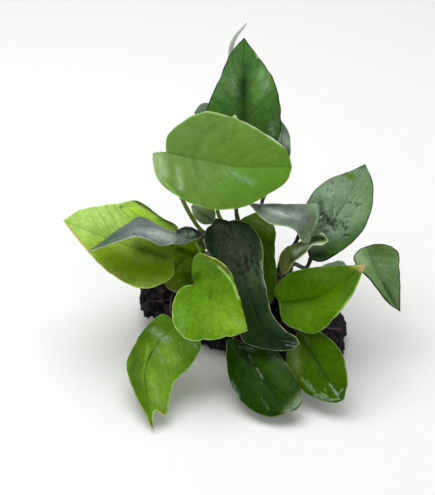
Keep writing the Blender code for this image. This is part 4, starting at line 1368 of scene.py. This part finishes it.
def tube(path, radii, sides, bumps):
    """Points, faces, places round and along, and shares of the length of a domed, closed tube."""
    path = np.array(path, float)
    tangents = unit(np.gradient(path, axis=0))
    frames = []
    across = unit(np.cross(tangents[0], (0.3, 0.5, 0.8)))
    for tangent in tangents:
        across = unit(across - tangent * (across @ tangent))
        frames.append((across, np.cross(tangent, across)))
    run = running_length(path)
    last = len(path) - 1
    rings = [(path[0] - tangents[0] * radii[0] * DOME_REACH, radii[0] * DOME_RADIUS, 0)]
    rings += [(point, radius, i) for i, (point, radius) in enumerate(zip(path, radii))]
    rings += [(path[-1] + tangents[-1] * radii[-1] * DOME_REACH, radii[-1] * DOME_RADIUS, last)]
    points, places, faces = [], [], []
    for centre, radius, i in rings:
        for k in range(sides):
            angle = math.tau * k / sides
            cosine, sine = math.cos(angle), math.sin(angle)
            outward = frames[i][0] * cosine + frames[i][1] * sine
            points.append(centre + outward * radius * (1 + bumps(run[i], angle)))
            places.append((cosine * SKIN_TURN, sine * SKIN_TURN + SKIN_SHIFT, run[i] * SKIN_RUN))
    for base in range(0, (len(rings) - 1) * sides, sides):
        for k in range(sides):
            after = (k + 1) % sides
            faces.append((base + k, base + after, base + sides + after, base + sides + k))
    faces.append(tuple(range(sides))[::-1])
    faces.append(tuple((len(rings) - 1) * sides + k for k in range(sides)))
    shares = np.repeat([run[i] / run[-1] for _, _, i in rings], sides)
    return np.array(points), faces, np.array(places), shares


def solid_paint(colour):
    return np.column_stack([colour, np.ones(len(colour))])


def add_stalk(leaf, material, number):
    """The petiole: a sheath on the rhizome, a slim round stem, a swollen joint under the blade."""
    _, coarse, up, _ = blade_grid(leaf, np.linspace(0, 1, 10), np.linspace(-1, 1, 7))
    up = up[0]
    base = coarse[0, 3]
    forward = unit(coarse[1, 3] - base)
    fraction, angle = leaf.foot
    outward = rhizome_outward(angle)
    root = rhizome_place(fraction) + outward * RHIZOME_RADIUS * STALK_ROOTED
    foot = rhizome_place(fraction) + outward * (RHIZOME_RADIUS * RHIZOME_FATTEST + STALK_CLEAR)
    head = base - up * STALK_HEAD_GAP + forward * (leaf.tuck - STALK_CLEAR)
    socket = base + forward * (SOCKET_REACH + leaf.tuck) - up * SOCKET_DEPTH
    sweep = min(1, np.linalg.norm(head - foot) / STALK_SWEEP)
    above = foot + outward * STALK_RISE * sweep
    if leaf.straight:
        below = head - (up * STRAIGHT_BELOW + forward * STRAIGHT_BEHIND) * sweep
    else:
        below = head - (up * STALK_BELOW + forward * STALK_BEHIND) * sweep
    bends = [seen(bend) for bend in leaf.bends]
    share = np.linspace(0, 1, STALK_POINTS)
    path = along_path([root, foot, above, *bends[::-1], below, head, socket], share)
    sheath = SHEATH_SWELL * falloff(share / SHEATH_LENGTH)
    joint = JOINT_SWELL * falloff((share - JOINT_PLACE) / JOINT_LENGTH)
    radii = STALK_RADIUS * (STALK_START - STALK_THINNING * share + sheath + joint)
    radii[-2:] *= STALK_END

    def bumps(run, turn):
        return STALK_UNEVEN * math.sin(2 * turn + run * 0.15 + number)

    points, faces, places, shares = tube(path, radii, STALK_SIDES, bumps)
    foot_share = FOOT_TINT * falloff(shares / FOOT_TINT_LENGTH)
    head_share = HEAD_TINT * falloff((1 - shares) / HEAD_TINT_LENGTH)
    colour = tinted(linear(leaf.stalk), STALK_FOOT_COLOUR, foot_share)
    colour = tinted(colour, leaf.colour, head_share)
    add_piece(
        leaf.name + "_petiole", points, faces, material, "stalk", [leaf.name + "_stalk"],
        paint=solid_paint(colour), vein=places,
    )


def add_rhizome(material):
    """The creeping stem, with ring scars where old leaves grew and a paler growing tip."""
    fractions = np.linspace(-0.01, 1.01, RHIZOME_POINTS)
    path = np.array([rhizome_place(fraction) for fraction in fractions])
    taper = RHIZOME_TAPER * (2 * fractions - 1) ** 4
    knobs = RHIZOME_KNOBS * np.sin(RHIZOME_KNOB_WINDING * fractions)
    winding, uneven = RHIZOME_RING_WINDINGS
    rings = np.abs(np.sin(fractions * winding + np.sin(fractions * uneven))) ** RHIZOME_RING_CURVE
    radii = RHIZOME_RADIUS * (RHIZOME_WIDTH - taper + knobs + RHIZOME_RINGS * rings)

    def bumps(run, turn):
        return RHIZOME_UNEVEN * noise.noise(Vector((run * 0.6, math.cos(turn), math.sin(turn))))

    points, faces, places, shares = tube(path, radii, RHIZOME_SIDES, bumps)
    colour = tinted(linear(RHIZOME_COLOUR), RHIZOME_TIP_COLOUR, np.clip(shares * 6 - 5, 0, 1))
    colour = tinted(colour, RHIZOME_OLD_COLOUR, np.clip(1 - shares * 4, 0, 0.8))
    add_piece(
        "rhizome_stem", points, faces, material, "rhizome", ["rhizome"],
        paint=solid_paint(colour), vein=places,
    )


def on_stone(skin, place, reach, step, lift):
    """A point just above the stone's skin, so far along it and so far round it."""
    angle = math.copysign(ROOT_START, reach) * (1 - step) + reach * step
    outward = rhizome_outward(angle)
    outside = along_stone(place, 0, STONE_HEIGHT / 2) + outward * STONE_LENGTH
    hit, normal, _, _ = skin.ray_cast(Vector(outside), Vector(-outward))
    if hit is None:
        hit, normal, _, _ = skin.find_nearest(Vector(outside))
    point = np.array(hit) + np.array(normal) * lift
    point[2] = max(point[2], ROOT_LOWEST)
    return point


def root_strands(number, run, drift, reach, skin):
    """The course and radii of a root and of its thin branches, clasping the stone."""
    fraction = (run - RHIZOME_REACH[0]) / (RHIZOME_REACH[1] - RHIZOME_REACH[0])
    foot = rhizome_outward(math.copysign(ROOT_FOOT, reach)) * (RHIZOME_RADIUS * ROOT_FOOT_DEPTH)
    path = [rhizome_place(fraction) + foot]
    for step in np.linspace(0, 1, ROOT_STEPS):
        place = run + drift * step + ROOT_SWAY * math.sin(ROOT_WINDING * step + number)
        path.append(on_stone(skin, place, reach, step, ROOT_LIFT))
    yield along_path(path, np.linspace(0, 1, ROOT_POINTS)), np.linspace(*ROOT_RADII, ROOT_POINTS)
    for branch in range(BRANCH_COUNT):
        start = BRANCH_FIRST + BRANCH_STEP * branch
        side = (-1) ** (branch + number)
        points = []
        for step in np.linspace(0, 1, BRANCH_STEPS):
            place = start + BRANCH_LENGTH * step
            bend = ROOT_SWAY * math.sin(ROOT_WINDING * place + number)
            spread = side * (BRANCH_SPREAD + BRANCH_SPREAD_GAIN * branch) * step**BRANCH_CURVE
            beside = run + drift * place + bend + spread
            points.append(on_stone(skin, beside, reach, min(place, BRANCH_FURTHEST), BRANCH_LIFT))
        radii = np.linspace(*BRANCH_RADII, BRANCH_POINTS)
        yield along_path(points, np.linspace(0, 1, BRANCH_POINTS)), radii


def add_roots(material, skin):
    """Wiry roots that clasp the stone, each with a few thin branches."""

    def bumps(run, turn):
        return ROOT_UNEVEN * math.sin(run * 1.9 + 2 * turn)

    for number, (run, drift, reach) in enumerate(ROOTS, 1):
        all_points, all_faces, all_places, all_shares = [], [], [], []
        count = 0
        for strand, radii in root_strands(number, run, drift, reach, skin):
            points, faces, places, shares = tube(strand, radii, ROOT_SIDES, bumps)
            all_points.append(points)
            all_places.append(places)
            all_shares.append(shares)
            all_faces += [tuple(i + count for i in face) for face in faces]
            count += len(points)
        colour = tinted(linear(ROOT_COLOUR), ROOT_TIP_COLOUR, np.concatenate(all_shares) ** 2)
        add_piece(
            f"root_strand_{number}", np.concatenate(all_points), all_faces, material, "root",
            [f"root_{number}"], paint=solid_paint(colour), vein=np.concatenate(all_places),
        )


# Stone


def box_lattice(counts):
    """Corner places and faces of the skin of a box of this many cells, within -1 to 1."""
    corners = []
    for axis in range(3):
        u_axis, v_axis = (axis + 1) % 3, (axis + 2) % 3
        u, v = np.meshgrid(np.arange(counts[u_axis]), np.arange(counts[v_axis]), indexing="ij")
        for level, flip in ((counts[axis], False), (0, True)):
            quad = []
            for du, dv in ((0, 0), (1, 0), (1, 1), (0, 1)):
                corner = np.zeros((*u.shape, 3), int)
                corner[..., axis] = level
                corner[..., u_axis] = u + du
                corner[..., v_axis] = v + dv
                quad.append(corner)
            if flip:
                quad.reverse()
            corners.append(np.stack(quad, -2).reshape(-1, 4, 3))
    corners = np.concatenate(corners)
    points, faces = np.unique(corners.reshape(-1, 3), axis=0, return_inverse=True)
    return 2 * points / np.array(counts) - 1, faces.reshape(-1, 4)


def stone_form():
    """The CAD stone's form, finely meshed: points, outward directions, what rests, and faces."""
    cube, faces = box_lattice(STONE_CELLS)
    shape = cube + (unit(cube) * STONE_BULGE - cube) * STONE_ROUNDING
    half = np.array((STONE_LENGTH / 2, STONE_DEPTH / 2, STONE_HEIGHT / 2 + STONE_SUNK / 2))
    place = shape * half
    outward = unit(shape / half)
    lumps = noise_at(place, LUMP_SIZE) * LUMP_HEIGHT
    lumps += noise_at(place, CRAG_SIZE, CRAG_SHIFT) * CRAG_HEIGHT
    place = place + outward * lumps[:, None]
    place[:, 2] += STONE_HEIGHT / 2 - STONE_SUNK / 2
    along = place[:, 0] / (STONE_LENGTH / 2)
    place[:, 2] *= 1 - RIGHT_END_DROP * np.clip(along - RIGHT_END_START, 0, None)
    end = np.clip(-along - LEFT_END_START, 0, None)
    ground = LEFT_END_LIFT * np.clip(LEFT_END_SLOPE * end, 0, 1)
    rests = place[:, 2] <= ground + ON_GROUND
    place[:, 2] = np.maximum(place[:, 2], ground)
    outward[rests] = (0, 0, -1)
    return place, outward, rests, faces.tolist()


def lava_depth(place, rests):
    """How far the crust stands out of the stone's form, or a burst bubble is sunk in it."""
    depth = sum(noise_at(place, size, shift, octaves) * height for size, height, shift, octaves in CRUSTS)
    off_ground = place[:, 2] >= ON_GROUND
    depth = np.where(rests & ~off_ground, np.minimum(depth, 0) * FLAT_CRUST, depth)
    rng = np.random.default_rng(BUBBLE_SEED)
    seats = rng.choice(len(place), BUBBLE_COUNT, replace=False)
    sizes = BUBBLE_LEAST + BUBBLE_SPREAD * rng.random(BUBBLE_COUNT) ** 3
    for seat, size in zip(seats, sizes):
        away = np.linalg.norm(place - place[seat], axis=1) / size
        near = away < BUBBLE_REACH
        away = away[near]
        bowl = -size * BUBBLE_DEPTH * np.sqrt(np.clip(1 - away**2, 0, 1))
        lip = LIP_HEIGHT * size * falloff((away - LIP_PLACE) / LIP_WIDTH) * (place[near, 2] > ON_GROUND)
        bowl += depth[seat] * BUBBLE_SHARED + OUTSIDE_BOWL * (away >= 1)
        depth[near] = np.minimum(depth[near], bowl) + lip
    return depth


def add_stone(material):
    """Porous lava: the CAD stone's form, a rough crust and many burst bubbles. Returns its skin."""
    place, outward, rests, faces = stone_form()
    depth = lava_depth(place, rests)
    points = place + outward * depth[:, None]
    points[:, 2] = np.maximum(points[:, 2], 0)
    world = np.array([along_stone(x, -y, z) for x, y, z in points])
    lava = depth[:, None] * (1, 0, 0)
    add_piece("lava_stone", world, faces, material, "stone", ["stone"], lava=lava)
    return BVHTree.FromPolygons([tuple(point) for point in world], faces)


# Studio


def placed(name, data, place):
    """A new object at a place in metres."""
    made = bpy.data.objects.new(name, data)
    made.location = place
    bpy.context.scene.collection.objects.link(made)
    return made


def add_studio():
    mesh = bpy.data.meshes.new("floor")
    corners = [(-1, -1, 0), (1, -1, 0), (1, 1, 0), (-1, 1, 0)]
    mesh.from_pydata([(FLOOR_REACH * x, FLOOR_REACH * y, z) for x, y, z in corners], [], [(0, 1, 2, 3)])
    mesh.materials.append(floor_material())
    floor = placed("floor", mesh, (0, 0, -FLOOR_DROP))

    target = Vector(seen((*VIEW_CENTRE, 0))) * MM
    towards = Vector((0, -math.cos(VIEW_RISE), math.sin(VIEW_RISE)))
    camera = placed("camera", bpy.data.cameras.new("camera"), target + towards * VIEW_DISTANCE * MM)
    camera.rotation_euler = (math.pi / 2 - VIEW_RISE, 0, 0)
    camera.data.lens = SENSOR * VIEW_DISTANCE / VIEW_HEIGHT
    camera.data.clip_start = CLIP_START
    bpy.context.scene.camera = camera

    for name, place, size, power in LIGHTS:
        light = bpy.data.lights.new(name, "AREA")
        light.size = size
        light.energy = power
        lamp = placed(name, light, place)
        lamp.rotation_euler = (target - Vector(place)).to_track_quat("-Z", "Y").to_euler()
    world = bpy.data.worlds.new("studio")
    world.use_nodes = True
    background = world.node_tree.nodes["Background"]
    background.inputs["Color"].default_value = (1, 1, 1, 1)
    background.inputs["Strength"].default_value = SKY_STRENGTH
    bpy.context.scene.world = world
    bpy.context.scene.view_settings.view_transform = "Standard"


leaf_skins = {slot: leaf_material(slot, *finish) for slot, finish in LEAF_FINISHES.items()}
stalk_skin = stalk_material()
stone_skin = add_stone(stone_material())
add_rhizome(woody_material("rhizome", 0.45))
add_roots(woody_material("root", 0.6), stone_skin)
for order, plant_leaf in enumerate(LEAVES):
    add_blade(plant_leaf, leaf_skins[plant_leaf.slot], order)
    add_stalk(plant_leaf, stalk_skin, order)
add_studio()
